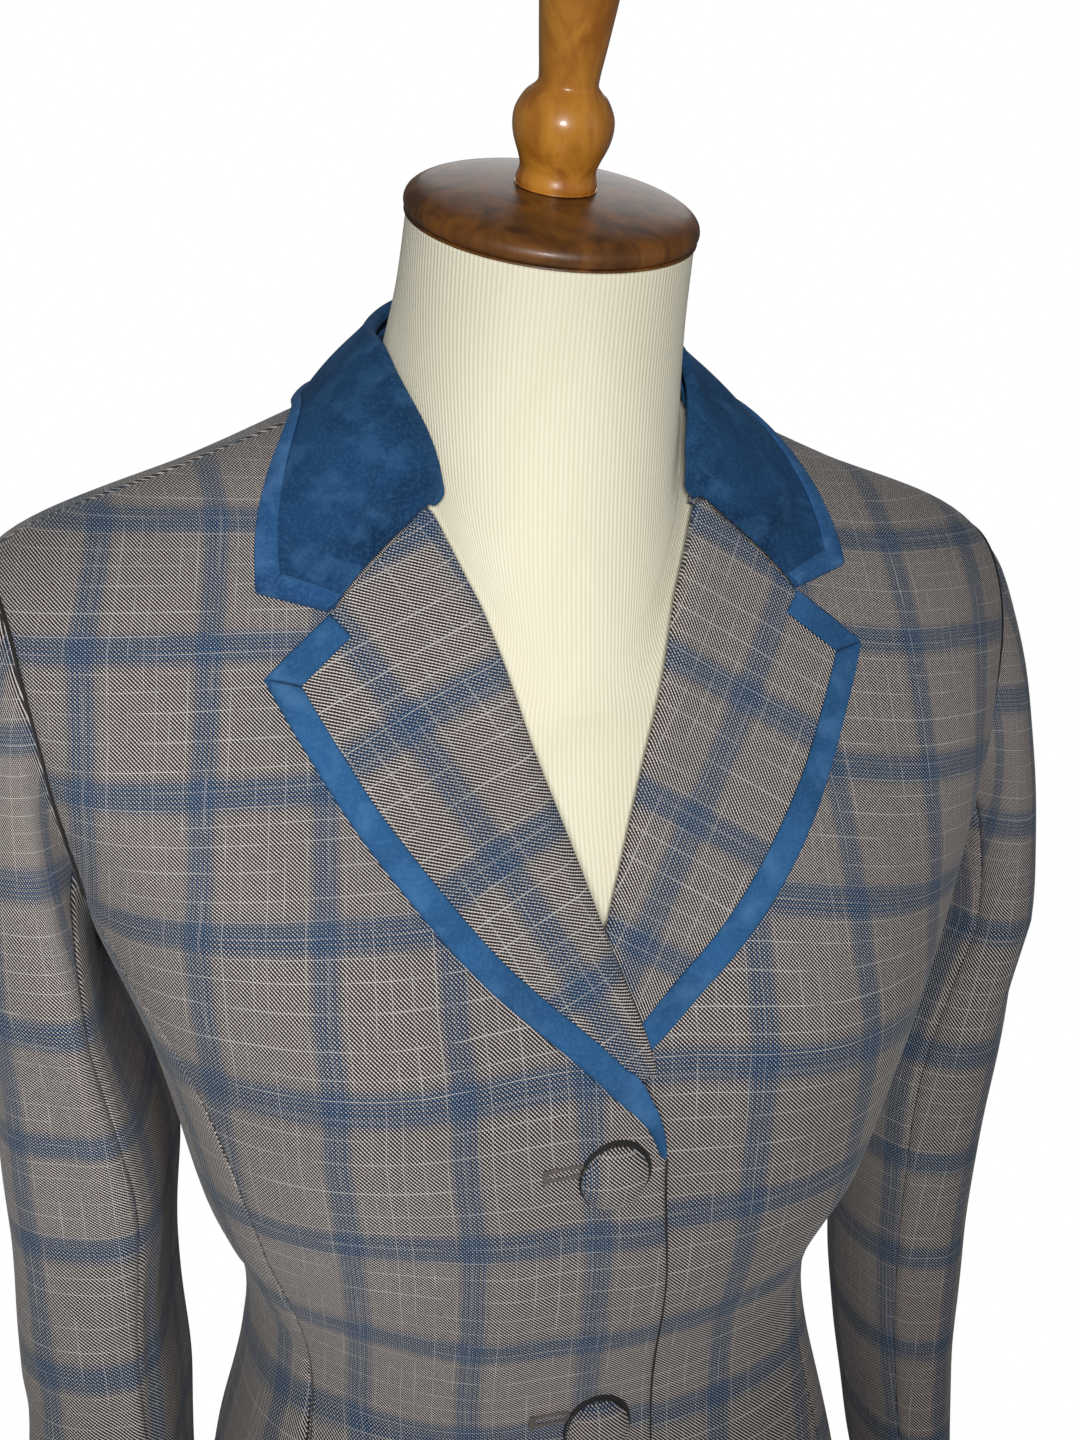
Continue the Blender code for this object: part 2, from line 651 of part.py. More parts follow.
NOTCH_SHARE = 0.64          # share of the fall's front end that the gorge seam takes
BAND_FROM = 0.865           # share of the fall at which its binding starts
FOLD_R = 0.0030
STAND_LEAN = 0.14           # the stand leans in to the neck by this slope
STAND_HOLLOW = 0.0012       # and by this much more at its top
NECK_BEHIND = 0.012         # the neck's middle lies this far behind the pole's axis
COLLAR_EDGE_LIFT = VELVET + 0.0017
CURL = ((-0.0062, -0.0046), (-0.0046, -0.0010))     # the roll's inner side: out and up from the fold
FALL_SHARES = (0.0, 0.12, 0.28, 0.46, NOTCH_SHARE, BAND_FROM, 1.0)


def collar_frame(row):
    """The neckline under a row of the collar, the way up its stand, and the way out from the neck."""
    angle = math.radians(row.foot)
    neckline = coat_point(angle, NECK)
    out = Vector((neckline.x, neckline.y + NECK_BEHIND, 0)).normalized()
    return neckline, (Vector((0, 0, 1)) - out * STAND_LEAN).normalized(), out


def fall_point(t, w, lift_more=0.0):
    """Outer face of the fall: t from the roll to its edge."""
    row = collar_row(w)
    neckline, up, out = collar_frame(row)
    angle = math.radians(lerp(row.foot, row.edge, t))
    level = lerp(NECK, row.edge_level, t)
    end_angle, end_level = front_place(*collar_end(t))
    share = smooth(0.55, 1.0, w) ** 2
    angle, level = lerp(angle, end_angle, share), lerp(level, end_level, share)
    normal = coat_normal(angle, level)
    way = up.lerp(normal, max(smooth(0, 1, t), share)).normalized()
    stand = row.stand * (1 - t) ** 1.2
    return coat_point(angle, level, COLLAR_EDGE_LIFT + lift_more) + way * stand + out * FOLD_R * (1 - t) ** 2


def collar_point(step, w):
    """Outer face of the collar's fall, from the inner side of its roll outwards."""
    if step >= len(CURL):
        return fall_point(FALL_SHARES[step - len(CURL)], w)
    row = collar_row(w)
    neckline, up, out = collar_frame(row)
    offset, rise = CURL[step]
    near_end = smooth(0.75, 1.0, w)
    return fall_point(0.0, w) + out * offset * lerp(1.0, 0.6, near_end) + up * rise * lerp(1.0, 0.1, near_end)


def stand_point(share, w):
    """Neck side of the collar's stand, which stops just under the roll."""
    row = collar_row(w)
    neckline, up, out = collar_frame(row)
    high = max(row.stand - STAND_UNDER_ROLL, 0.003)
    return neckline + up * (3 * GAP + share * high) - out * STAND_HOLLOW * share


COLLAR_ROWS = (1.0, 0.95, 0.88, 0.80, 0.71, 0.61, 0.51, 0.41, 0.31, 0.21, 0.10, 0.0)
STAND_UNDER_ROLL = 0.0068
STAND_END = 0.80            # the stand runs out here, short of the collar's front end


def mirrored_place(point, w):
    return Vector((point.x if w >= 0 else -point.x, point.y, point.z))


def add_collar():
    rows = COLLAR_ROWS + tuple(-w for w in reversed(COLLAR_ROWS[:-1]))
    columns = len(CURL) + len(FALL_SHARES) - 1

    def place(u, v):
        w = rows[round(v * (len(rows) - 1))]
        return mirrored_place(collar_point(round(u * columns), abs(w)), w)
    sheet("collar", place, columns, len(rows) - 1, VELVET, "velvet")

    def stand_place(u, v):
        w = rows[round(v * (len(rows) - 1))] * STAND_END
        return mirrored_place(stand_point(u, abs(w)), w)
    sheet("collar_stand", stand_place, 2, len(rows) - 1, STAND_WALL, "velvet")


def add_collar_band():
    """The binding on the fall: from one notch to the tip, along the edge, and to the other notch."""
    ends = ((NOTCH_SHARE + 0.02, 1.0), (BAND_FROM, 1.0), (0.995, 0.998))
    inner_ends = ((NOTCH_SHARE - 0.08, 0.955), (0.76, 0.945), (BAND_FROM, 0.945))
    run = [(0.995, w) for w in COLLAR_ROWS[2:]]
    inner_run = [(BAND_FROM, w) for w in COLLAR_ROWS[2:]]
    outer, inner = list(ends) + run, list(inner_ends) + inner_run
    outer += [(t, -w) for t, w in reversed(outer[:-1])]
    inner += [(t, -w) for t, w in reversed(inner[:-1])]
    rows = len(outer) - 1

    def place(u, v):
        index = round(v * rows)
        t, w = (lerp(a, b, u) for a, b in zip(inner[index], outer[index]))
        return mirrored_place(fall_point(t, abs(w), BAND_WALL + BAND_OVER), w)
    sheet("collar_band", place, 2, rows, BAND_WALL, "binding")


def add_buttons():
    profile = ((0, 1.0), (0.35, 0.97), (0.66, 0.86), (0.88, 0.66), (0.99, 0.40), (1.0, 0.24),
               (0.90, 0.06), (0.72, 0.0), (0, 0.0))
    for number, (x, z, air) in enumerate(BUTTONS, start=1):
        angle, level = front_place(x, z)
        seat, normal = coat_point(angle, level), coat_normal(angle, level)
        rim = (coat_point(*front_place(x, z + side * BUTTON_R)) for side in (-1, 1))
        lift = air + max(0.0, *((point - seat).dot(normal) for point in rim))
        button = turned(f"button_{number}", [(r * BUTTON_R, h * BUTTON_HIGH) for r, h in profile],
                        "wool", 24)
        button.matrix_world = (Matrix.Translation(seat + normal * lift)
                               @ normal.to_track_quat("Z", "Y").to_matrix().to_4x4())


def form_point(angle, level):
    """The dress form: the coat's own form moved in, and from the neckline up its neck."""
    if level > NECK:
        ring = ring_at(NECK_RINGS, level - NECK)
        return ring_point(ring, angle, lerp(2, 1, smooth(0, 1, level - NECK)))
    along = math.sin(angle)
    away = spline(EASE_FRONT if along < 0 else EASE_BACK, level)
    return coat_point(angle, level, -lerp(spline(EASE_SIDE, level), away, smooth(0.10, 0.60, abs(along))))


FORM_LEVELS = (0.35, 0.8, 1.3, 1.9, 2.5, 3, 3.5, 4, 4.5, 5, 5.5, 6, 6.5, 7, 7.5, 8, 8.4, 8.8, 9.2, 9.6,
               10, 10.4, 10.8, 11.2, 11.7, 12.3, 13)
FORM_SEGMENTS = 32


def add_form():
    """The padded torso and neck, a loft of its rings with flat ends."""
    mesh = bpy.data.meshes.new("form_torso")
    loft = bmesh.new()
    rings = []
    for level in FORM_LEVELS:
        points = [form_point(2 * math.pi * i / FORM_SEGMENTS - math.pi, level)
                  for i in range(FORM_SEGMENTS)]
        if level == FORM_LEVELS[0]:
            points = [Vector((p.x, p.y, FORM_FLOOR)) for p in points]
        rings.append([loft.verts.new(p) for p in points])
    for low, high in zip(rings, rings[1:]):
        for i in range(FORM_SEGMENTS):
            j = (i + 1) % FORM_SEGMENTS
            loft.faces.new((low[i], low[j], high[j], high[i]))
    loft.faces.new(reversed(rings[0]))
    loft.faces.new(rings[-1])
    loft.to_mesh(mesh)
    loft.free()
    mesh.shade_smooth()
    add_object("form_torso", mesh, "jersey")


def add_stand():
    cap = ((0, CAP_DOME), (0.018, 0.90 * CAP_DOME), (0.034, 0.50 * CAP_DOME), (0.047, -0.0004),
           (0.0528, -0.0030), (CAP_R, -0.0062), (0.0535, -0.0090), (0.0510, -CAP_THICK),
           (0, -CAP_THICK))
    finial = ((0, 0.152), (0.008, 0.150), (0.0135, 0.144), (0.0155, 0.134), (0.0160, 0.110),
              (0.0148, 0.075), (0.0125, 0.052), (0.0108, 0.038), (0.0114, 0.0345), (0.0150, 0.031),
              (0.0178, 0.0255), (0.0182, 0.0205), (0.0172, 0.0155), (0.0150, 0.0100), (0.0139, 0.006),
              (0.0148, 0.002), (0.0146, 0.0), (0, 0.0))
    base = ((0, BASE_HIGH), (0.140, BASE_HIGH), (0.157, 0.016), (0.164, 0.011), (BASE_R, 0.006),
            (0.162, 0.0), (0, 0.0))
    pole = ((0, FORM_FLOOR - GAP), (POLE_R, FORM_FLOOR - GAP), (POLE_R, 0.050), (0.015, 0.042),
            (0.022, 0.034), (0.024, 0.026), (0.024, BASE_HIGH + GAP), (0, BASE_HIGH + GAP))
    tilt = Matrix.Translation(CAP_TOP) @ Matrix.Rotation(NECK_TILT, 4, "X")
    turned("neck_cap", cap, "walnut", 40).matrix_world = tilt
    seated = Matrix.Translation((0, 0, CAP_DOME + GAP))
    turned("finial", finial, "maple", 28).matrix_world = tilt @ seated
    turned("stand_pole", pole, "walnut", 24)
    turned("stand_base", base, "walnut", 48)


def main():
    for old in list(bpy.data.objects):
        bpy.data.objects.remove(old, do_unlink=True)
    bpy.context.scene.collection.children.link(bpy.data.collections.new("show_coat"))
    for side, word in ((1, "left"), (-1, "right")):
        add_fronts_sides_backs(side, word)
        add_sleeves(side, word)
        add_lapel(side, word)
        add_lapel_binding(side, word)
    add_collar()
    add_collar_band()
    add_buttons()
    add_form()
    add_stand()


main()
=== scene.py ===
"""Plaid wool show coat with a velvet collar, on a limbless jersey dress form and its turned stand.

Every sheet of cloth is laid on the same form as the solids it stands for, with finer steps, its
creases, seams, bindings, stitches and buttonholes, and a cut whose plaid follows the grain.
"""

import logging
import math
from dataclasses import dataclass
from enum import Enum
from typing import Any, Callable, Sequence

import bmesh
import bpy
import numpy as np
from mathutils import Matrix, Vector


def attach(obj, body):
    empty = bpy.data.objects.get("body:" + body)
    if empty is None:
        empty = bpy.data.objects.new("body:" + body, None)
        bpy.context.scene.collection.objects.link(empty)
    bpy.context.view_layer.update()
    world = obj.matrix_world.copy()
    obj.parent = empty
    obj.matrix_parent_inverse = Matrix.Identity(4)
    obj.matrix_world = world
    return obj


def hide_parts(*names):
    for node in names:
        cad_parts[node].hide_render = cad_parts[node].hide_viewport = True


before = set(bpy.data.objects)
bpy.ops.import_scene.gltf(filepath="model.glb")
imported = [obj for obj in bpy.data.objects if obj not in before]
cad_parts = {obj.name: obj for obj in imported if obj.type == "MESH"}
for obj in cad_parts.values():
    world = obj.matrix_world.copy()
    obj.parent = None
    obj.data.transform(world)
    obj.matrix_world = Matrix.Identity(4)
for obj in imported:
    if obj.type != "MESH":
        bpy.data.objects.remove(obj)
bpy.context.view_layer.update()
LOG = logging.getLogger("show_coat")
Array = np.ndarray
FULL_TURN = 2 * math.pi
MIRROR = (-1.0, 1.0, 1.0)
SAME_PLACE = 1e-6
MATH, MIX = "ShaderNodeMath", "ShaderNodeMix"


class Side(Enum):
    """The wearer's side a piece is cut for; the value is the sign of its x."""

    RIGHT = -1
    LEFT = 1

    @property
    def word(self) -> str:
        """The side's name as the solids spell it."""
        return self.name.lower()


class Hold(Enum):
    """How a sheet of cloth is carried."""

    HUNG = "hung"
    FOLDED = "folded"


# ---------------------------------------------------------------- curves and small sums


def lerp(a: Any, b: Any, t: Any) -> Any:
    """The value a share t of the way from a to b."""
    return a + (b - a) * t


def smooth(low: float, high: float, value: Any) -> Any:
    """A soft step from 0 at low to 1 at high."""
    t = np.clip((value - low) / (high - low), 0.0, 1.0)
    return t * t * (3 - 2 * t)


def signed_power(value: Array, power: Array) -> Array:
    """A power that keeps the value's sign."""
    return np.sign(value) * np.abs(value) ** power


def mirrored(vectors: Array, side: Side) -> Array:
    """The vectors, turned over in x for the wearer's right."""
    return vectors * MIRROR if side is Side.RIGHT else vectors


def arc_of(points: Array, axis: int) -> Array:
    """Length run along a grid of points.

    Args:
        points: a grid of points, its last axis x, y and z.
        axis: 0 to run up the rows, 1 to run across them.

    Returns:
        The length from the first point of each line to each point, in metres.
    """
    steps = np.linalg.norm(np.diff(points, axis=axis), axis=-1)
    start = np.zeros_like(np.take(steps, [0], axis=axis))
    return np.concatenate((start, np.cumsum(steps, axis=axis)), axis=axis)


def spline(rows: Any, place: Any) -> Array:
    """Smooth curve through evenly numbered rows.

    Args:
        rows: one value or one tuple of values for each row.
        place: places along the rows, from 0 to their count less one.

    Returns:
        The values at each place.
    """
    rows, place = np.asarray(rows, float), np.asarray(place, float)
    last = len(rows) - 1
    place = np.clip(place, 0.0, last)
    index = np.minimum(place.astype(int), last - 1)
    t = place - index
    if rows.ndim > 1:
        t = t[..., None]
    start, end = rows[index], rows[index + 1]
    slope_in = (end - rows[np.maximum(index - 1, 0)]) / 2
    slope_out = (rows[np.minimum(index + 2, last)] - start) / 2
    return hermite(start, slope_in, end, slope_out, t)


def hermite(start: Array, slope_in: Array, end: Array, slope_out: Array, t: Any) -> Array:
    """A cubic from start to end that leaves and arrives with the given slopes."""
    return ((2 * t ** 3 - 3 * t ** 2 + 1) * start + (t ** 3 - 2 * t ** 2 + t) * slope_in
            + (3 * t ** 2 - 2 * t ** 3) * end + (t ** 3 - t ** 2) * slope_out)


def track(pairs: Sequence[tuple[float, float]], steps: int = 12) -> tuple[Array, Array]:
    """A seam's (level, angle in degrees) pairs as a fine track of levels and radians."""
    fine = spline(pairs, np.linspace(0, len(pairs) - 1, (len(pairs) - 1) * steps + 1))
    return fine[:, 0], np.radians(fine[:, 1])


def along(path: Array, share: Array) -> Array:
    """Points of a polyline at shares of its length."""
    run = np.concatenate(([0.0], np.cumsum(np.linalg.norm(np.diff(path, axis=0), axis=1))))
    return np.stack([np.interp(np.asarray(share) * run[-1], run, path[:, i]) for i in range(path.shape[1])], -1)


def crowded(count: int, crowd: float = 0.85) -> Array:
    """Shares from 0 to 1 that lie closer together towards both ends."""
    t = np.linspace(0, 1, count)
    return t - crowd * np.sin(2 * np.pi * t) / (2 * np.pi)


def own_lay(points: Array) -> Array:
    """Places on the cut cloth of a piece cut to its own shape."""
    return np.stack((arc_of(points, 1), arc_of(points, 0)), -1)


def sunk_sides(run: Array, deep: float, wide: float, first: tuple[float, float] | None = None) -> Array:
    """How far the two sides of a grid sink.

    Args:
        run: metres run across the rows.
        deep: how deep a sewn side goes into its seam.
        wide: how far the seam is felt.
        first: depth and width at the first side, where it isn't sewn.

    Returns:
        Metres below the face at each point.
    """
    edge_deep, edge_wide = first or (deep, wide)
    return (deep * np.exp(-((run[:, -1:] - run) / wide) ** 2)
            + edge_deep * np.exp(-(run / edge_wide) ** 2))


def unit(vectors: Array) -> Array:
    """The vectors at length one."""
    return vectors / np.maximum(np.linalg.norm(vectors, axis=-1, keepdims=True), 1e-12)


def grid_normals(points: Array) -> Array:
    """Outward normals of a grid whose rows run right and whose columns run up, seen from outside."""
    return unit(np.cross(np.gradient(points, axis=1), np.gradient(points, axis=0)))


# ---------------------------------------------------------------- the coat's form


@dataclass(frozen=True)
class CoatForm:
    """The form that all the coat's sheets are laid on, the same one as the solids have."""

    rings: tuple = (
        # wide   front  back   mid_y  side_z front_z back_z square
        (0.176, 0.142, 0.150, 0.000, 0.165, 0.165, 0.165, 2.1),     # hem
        (0.160, 0.123, 0.130, 0.000, 0.250, 0.245, 0.250, 2.1),     # hip
        (0.139, 0.103, 0.110, 0.000, 0.335, 0.325, 0.335, 2.3),     # high hip
        (0.119, 0.088, 0.084, 0.000, 0.430, 0.408, 0.430, 2.5),     # waist
        (0.139, 0.106, 0.089, 0.000, 0.495, 0.487, 0.495, 2.8),     # midriff
        (0.159, 0.113, 0.098, 0.000, 0.570, 0.560, 0.572, 2.9),     # bust
        (0.178, 0.107, 0.104, 0.001, 0.620, 0.597, 0.628, 3.0),     # underarm
        (0.200, 0.101, 0.106, 0.003, 0.690, 0.632, 0.692, 3.1),     # chest
        (0.204, 0.096, 0.096, 0.008, 0.750, 0.660, 0.752, 2.5),     # shoulder point
        (0.134, 0.090, 0.080, 0.008, 0.781, 0.681, 0.794, 2.1),     # half way to the neck
        (0.064, 0.085, 0.062, 0.004, 0.808, 0.697, 0.824, 2.0),     # neckline
    )
    neck: float = 10.0
    bust_at: tuple = (0.088, 0.580)
    bust_full: float = 0.010
    bust_spread: tuple = (0.045, 0.055)
    roll_line: tuple = ((-0.021, 0.536), (-0.0165, 0.556), (-0.0110, 0.580), (0.003, 0.620),
                        (0.0145, 0.655), (0.025, 0.688), (0.0365, 0.728), (0.044, 0.750), (0.052, 0.768))
    roll_setback: float = 0.0032    # how far the free edge stays back from the roll
    foot_setback: float = 0.0032    # and how much further by the lapel's foot
    overlap: float = 0.021
    slant: float = 0.008
    slant_from: float = 0.440
    break_z: float = 0.540
    edge_steps: int = 60
    front_seam: tuple = ((0, -38), (1, -37), (2, -34), (3, -31), (3.7, -31.5), (4.4, -29), (5, -24.5),
                         (5.6, -18), (6.02, -13.5))
    back_seam: tuple = ((0, 44), (1, 43), (2, 42), (3, 44), (4, 42), (5, 33), (5.6, 24), (6.1, 17))
    armhole_mid: tuple = (0.006, 0.678)
    armhole_reach: tuple = (0.056, 0.064, 0.0718, 0.070)
    armhole_square: float = 2.15
    # the wearer's left half: how much fuller it hangs, from x to x, fading from z to z and towards the hem
    left_full: float = 0.009
    full_across: tuple = (0.05, 0.12)
    full_below: tuple = (0.58, 0.70)
    full_hem: tuple = (0.16, 0.36)
    full_at_hem: float = 0.35
    # how far its front lies under the other, below the lapels and where the lapels cross
    underlap_drop: float = 0.0023
    crossing_drop: float = 0.0100
    crossing: tuple = (0.455, 0.540, 0.630, 0.710)
    underlap_across: tuple = (0.014, 0.090)
    fine_angle: float = 0.01

    def surface(self, angle: Any, level: Any) -> Array:
        """Point of the coat's outer face: angle 0 at the wearer's left, -90 degrees in front.

        Args:
            angle: radians round the body.
            level: place along the rings, hem 0 to neckline 10.

        Returns:
            Points in metres.
        """
        point = ring_points(self.rings, angle, level)
        swell = self.bust_full * np.exp(-((np.abs(point[..., 0]) - self.bust_at[0]) / self.bust_spread[0]) ** 2
                                        - ((point[..., 2] - self.bust_at[1]) / self.bust_spread[1]) ** 2)
        point[..., 1] -= np.where(point[..., 1] > 0, 0.0, swell)
        return point

    def normal(self, angle: Any, level: Any) -> Array:
        """Outward normals of the form."""
        step = self.fine_angle
        around = self.surface(angle + step, level) - self.surface(angle - step, level)
        upward = (self.surface(angle, np.minimum(level + step, self.neck))
                  - self.surface(angle, np.maximum(level - step, 0.0)))
        return unit(np.cross(around, upward))

    def point(self, angle: Any, level: Any, lift: Any = 0.0) -> Array:
        """Points of the outer face, moved out by lift metres."""
        lift = np.broadcast_to(lift, np.broadcast(angle, level).shape)
        return self.surface(angle, level) + self.normal(angle, level) * lift[..., None]

    def place(self, angle_at: Callable[[Array], Array], z: Array, low: float, high: float) -> tuple[Array, Array]:
        """Angle and level where the form has height z.

        Args:
            angle_at: gives the angle on a level.
            z: the heights sought.
            low: lowest level.
            high: highest level.

        Returns:
            Arrays of angles and levels.
        """
        low, high = np.full(np.shape(z), low), np.full(np.shape(z), high)
        for _ in range(26):
            level = (low + high) / 2
            under = self.surface(angle_at(level), level)[..., 2] < z
            low, high = np.where(under, level, low), np.where(under, high, level)
        return angle_at(low), low

    def front_place(self, x: Any, z: Any) -> tuple[Array, Array]:
        """Angle and level of the point of the front at x and z."""
        x, z = np.broadcast_arrays(np.asarray(x, float), np.asarray(z, float))

        def angle_at(level: Array) -> Array:
            """Angle of x on a level."""
            ring = spline(self.rings, level)
            across = np.minimum(np.abs(x) / ring[..., 0], 1.0) ** (ring[..., 7] / 2)
            return -np.arccos(np.where(x < 0, -across, across))
        return self.place(angle_at, z, 0.0, self.neck)

    def side_place(self, y: Any, z: Any) -> tuple[Array, Array]:
        """Angle and level of the point of the wearer's left side at y and z."""
        y, z = np.broadcast_arrays(np.asarray(y, float), np.asarray(z, float))

        def angle_at(level: Array) -> Array:
            """Angle of y on a level."""
            ring = spline(self.rings, level)
            off = y - ring[..., 3]
            part = np.minimum(np.abs(off) / np.where(off > 0, ring[..., 2], ring[..., 1]), 1.0)
            return np.arcsin(np.sign(off) * part ** (ring[..., 7] / 2))
        return self.place(angle_at, z, 4.0, 8.4)

    def armhole(self, turn: Any) -> tuple[Array, Array]:
        """Angle and level of the armhole's point at a turn: 0 at the top, 90 degrees at the front."""
        ahead, behind, above, below = self.armhole_reach
        power = 2 / self.armhole_square
        across, up = np.sin(turn), np.cos(turn)
        y = self.armhole_mid[0] - np.where(across > 0, ahead, behind) * signed_power(across, power)
        z = self.armhole_mid[1] + np.where(up > 0, above, below) * signed_power(up, power)
        return self.side_place(y, z)

    def seam_meets(self, pairs: Sequence[tuple[float, float]], first: float, last: float) -> float:
        """The turn, in radians, at which a seam meets the armhole between two turns in degrees."""
        levels, angles = track(pairs)
        turns = np.radians(np.linspace(first, last, 400))
        angle, level = self.armhole(turns)
        inside = np.abs(angle) <= np.abs(np.interp(level, levels, angles))
        return float(turns[np.argmax(inside)])

    def drop(self, x: Any, z: Any) -> Array:
        """How far the wearer's left front lies under the right one."""
        crossing = smooth(*self.crossing[:2], z) * (1 - smooth(*self.crossing[2:], z))
        return lerp(self.underlap_drop, self.crossing_drop, crossing) * (1 - smooth(*self.underlap_across, x))

    def hang(self, point: Array, side: Side) -> Array:
        """The wearer's left half hangs a little fuller beside the bust."""
        if side is Side.RIGHT:
            return point
        x, z = point[..., 0], point[..., 2]
        reach = (smooth(*self.full_across, x) * (1 - smooth(*self.full_below, z))
                 * lerp(self.full_at_hem, 1.0, smooth(*self.full_hem, z)))
        return point + np.stack((self.left_full * reach, 0 * reach, 0 * reach), -1)

    def front_point(self, x: Any, z: Any, lift: Any, side: Side) -> Array:
        """Points over the front at x and z, on the wearer's left half."""
        angle, level = self.front_place(x, z)
        return self.hang(self.point(angle, level, lift - (self.drop(x, z) if side is Side.LEFT else 0)), side)

    def edge_x(self, z: Array) -> Array:
        """The front's free edge below the lapel, past the middle."""
        return -self.overlap - self.slant * (1 - smooth(self.slant_from, self.break_z, z))

    def edge_track(self) -> tuple[Array, Array]:
        """The front's free edge as levels and angles, from the hem up to the roll line's top."""
        z = np.linspace(self.rings[0][5], self.break_z - 0.006, self.edge_steps)
        low_angle, low_level = self.front_place(self.edge_x(z), z)
        share = np.linspace(0, 1, self.edge_steps + 1)[1:]
        path = spline(self.roll_line, share * (len(self.roll_line) - 1))
        setback = (self.roll_setback * smooth(0, 0.2, share)
                   + self.foot_setback * smooth(0, 0.03, share) * (1 - smooth(0.1, 0.3, share)))
        angle, level = self.front_place(path[:, 0] + setback, path[:, 1])
        return np.concatenate((low_level, level)), np.concatenate((low_angle, angle))


def ring_points(table: Any, angle: Any, level: Any, rise: Any = 2.0) -> Array:
    """Points of a form's rings.

    Args:
        table: rows of wide, front, back, mid_y, side_z, front_z, back_z and square.
        angle: radians round the ring.
        level: place along the rows.
        rise: how late a ring climbs from its side height to its front or back height.

    Returns:
        Points in metres.
    """
    angle, level = np.broadcast_arrays(np.asarray(angle, float), np.asarray(level, float))
    wide, front, back, mid_y, side_z, front_z, back_z, square = np.moveaxis(spline(table, level), -1, 0)
    across, ahead = np.cos(angle), np.sin(angle)
    depth, end_z = np.where(ahead < 0, front, back), np.where(ahead < 0, front_z, back_z)
    return np.stack((wide * signed_power(across, 2 / square), mid_y + depth * signed_power(ahead, 2 / square),
                     lerp(side_z, end_z, np.abs(ahead) ** rise)), -1)


# ---------------------------------------------------------------- creases


@dataclass(frozen=True)
class Crease:
    """A fold between two points: a valley with a soft ridge at each side, or the other way round."""

    start: tuple[float, float, float]
    end: tuple[float, float, float]
    depth: float
    width: float

    def lift(self, points: Array) -> Array:
        """How far the fold moves the cloth out at each point.

        Args:
            points: the cloth's points in metres.

        Returns:
            Metres along the outward normal, negative in a valley.
        """
        start, way = np.array(self.start), np.array(self.end) - np.array(self.start)
        share = np.clip((points - start) @ way / (way @ way), 0.0, 1.0)
        far = np.linalg.norm(points - start - share[..., None] * way, axis=-1) / self.width
        return -self.depth * (1 - 0.8 * far ** 2) * np.exp(-far ** 2) * np.sin(np.pi * lerp(0.08, 0.92, share))


# waves a metre along x, y and z, in radians, and each one's own start
WAVES = ((61, 23, 34, 0.7), (-47, 31, 71, 2.1), (29, -83, 52, 4.4), (97, 41, -26, 5.2), (-38, 57, 108, 1.3))


def undulation(points: Array, size: float, seed: float) -> Array:
    """A faint unevenness of hung cloth.

    Args:
        points: the cloth's points in metres.
        size: its height in metres.
        seed: sets one piece's waves apart from the next.

    Returns:
        Metres along the outward normal.
    """
    x, y, z = np.moveaxis(points, -1, 0)
    total = sum(np.sin(a * x + b * y + c * z + d * (1 + seed)) for a, b, c, d in WAVES)
    return size * total / len(WAVES)


def creased(points: Array, folds: Sequence[Crease], size: float, seed: float, outward: Array) -> Array:
    """The points with their folds and unevenness put in.

    Args:
        points: a grid of points.
        folds: the given folds.
        size: height of the unevenness in metres.
        seed: sets one piece apart from the next.
        outward: outward normals.

    Returns:
        The moved points.
    """
    lift = undulation(points, size, seed)
    for fold in folds:
        lift = lift + fold.lift(points)
    return points + outward * lift[..., None]


# ---------------------------------------------------------------- from points to pieces


def grid_mesh(name: str, points: Array, lay: Array | None, turned_over: bool, closed: bool = False) -> bpy.types.Mesh:
    """A grid warped on to points.

    Args:
        name: the mesh's name.
        points: rows by columns of points in metres.
        lay: rows by columns of places on the cut cloth in metres, or None.
        turned_over: True turns the faces over, for a piece mirrored in x.
        closed: True joins the last column to the first.

    Returns:
        The mesh.
    """
    rows, columns = points.shape[:2]
    grid = bmesh.new()
    bmesh.ops.create_grid(grid, x_segments=columns - 1, y_segments=rows - 1, size=0.5)
    cut = grid.loops.layers.uv.new("cut") if lay is not None else None
    for vertex in grid.verts:
        vertex.index = (round((vertex.co.y + 0.5) * (rows - 1)) * columns
                        + round((vertex.co.x + 0.5) * (columns - 1)))
    if cut is not None:
        flat = lay.reshape(-1, 2).tolist()
        for face in grid.faces:
            for loop in face.loops:
                loop[cut].uv = flat[loop.vert.index]
    places = points.reshape(-1, 3).tolist()
    for vertex in grid.verts:
        vertex.co = places[vertex.index]
    if turned_over:
        bmesh.ops.reverse_faces(grid, faces=grid.faces)
    if closed:
        bmesh.ops.remove_doubles(grid, verts=grid.verts, dist=SAME_PLACE)
    mesh = bpy.data.meshes.new(name)
    grid.to_mesh(mesh)
    grid.free()
    mesh.shade_smooth()
    return mesh


def put_in_scene(name: str, data: Any) -> bpy.types.Object:
    """Puts data in the scene as an object.

    Args:
        name: the object's name.
        data: its mesh, lamp or camera.

    Returns:
        The new object.
    """
    thing = bpy.data.objects.new(name, data)
    bpy.context.scene.collection.objects.link(thing)
    return thing


def add_piece(name: str, mesh: bpy.types.Mesh, material: bpy.types.Material, slot: str,
              nodes: Sequence[str] = ()) -> bpy.types.Object:
    """Puts a mesh in the scene as a piece of the coat or its form.

    Args:
        name: the piece's name.
        mesh: its mesh, in place.
        material: its finish.
        slot: the record's material slot; not used.
        nodes: the solids it stands for.

    Returns:
        The new object.
    """
    piece = put_in_scene(name, mesh)
    mesh.materials.append(material)
    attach(piece, "root")
    if nodes:
        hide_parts(*nodes)
    LOG.info("%s: %d faces", name, len(mesh.polygons))
    return piece


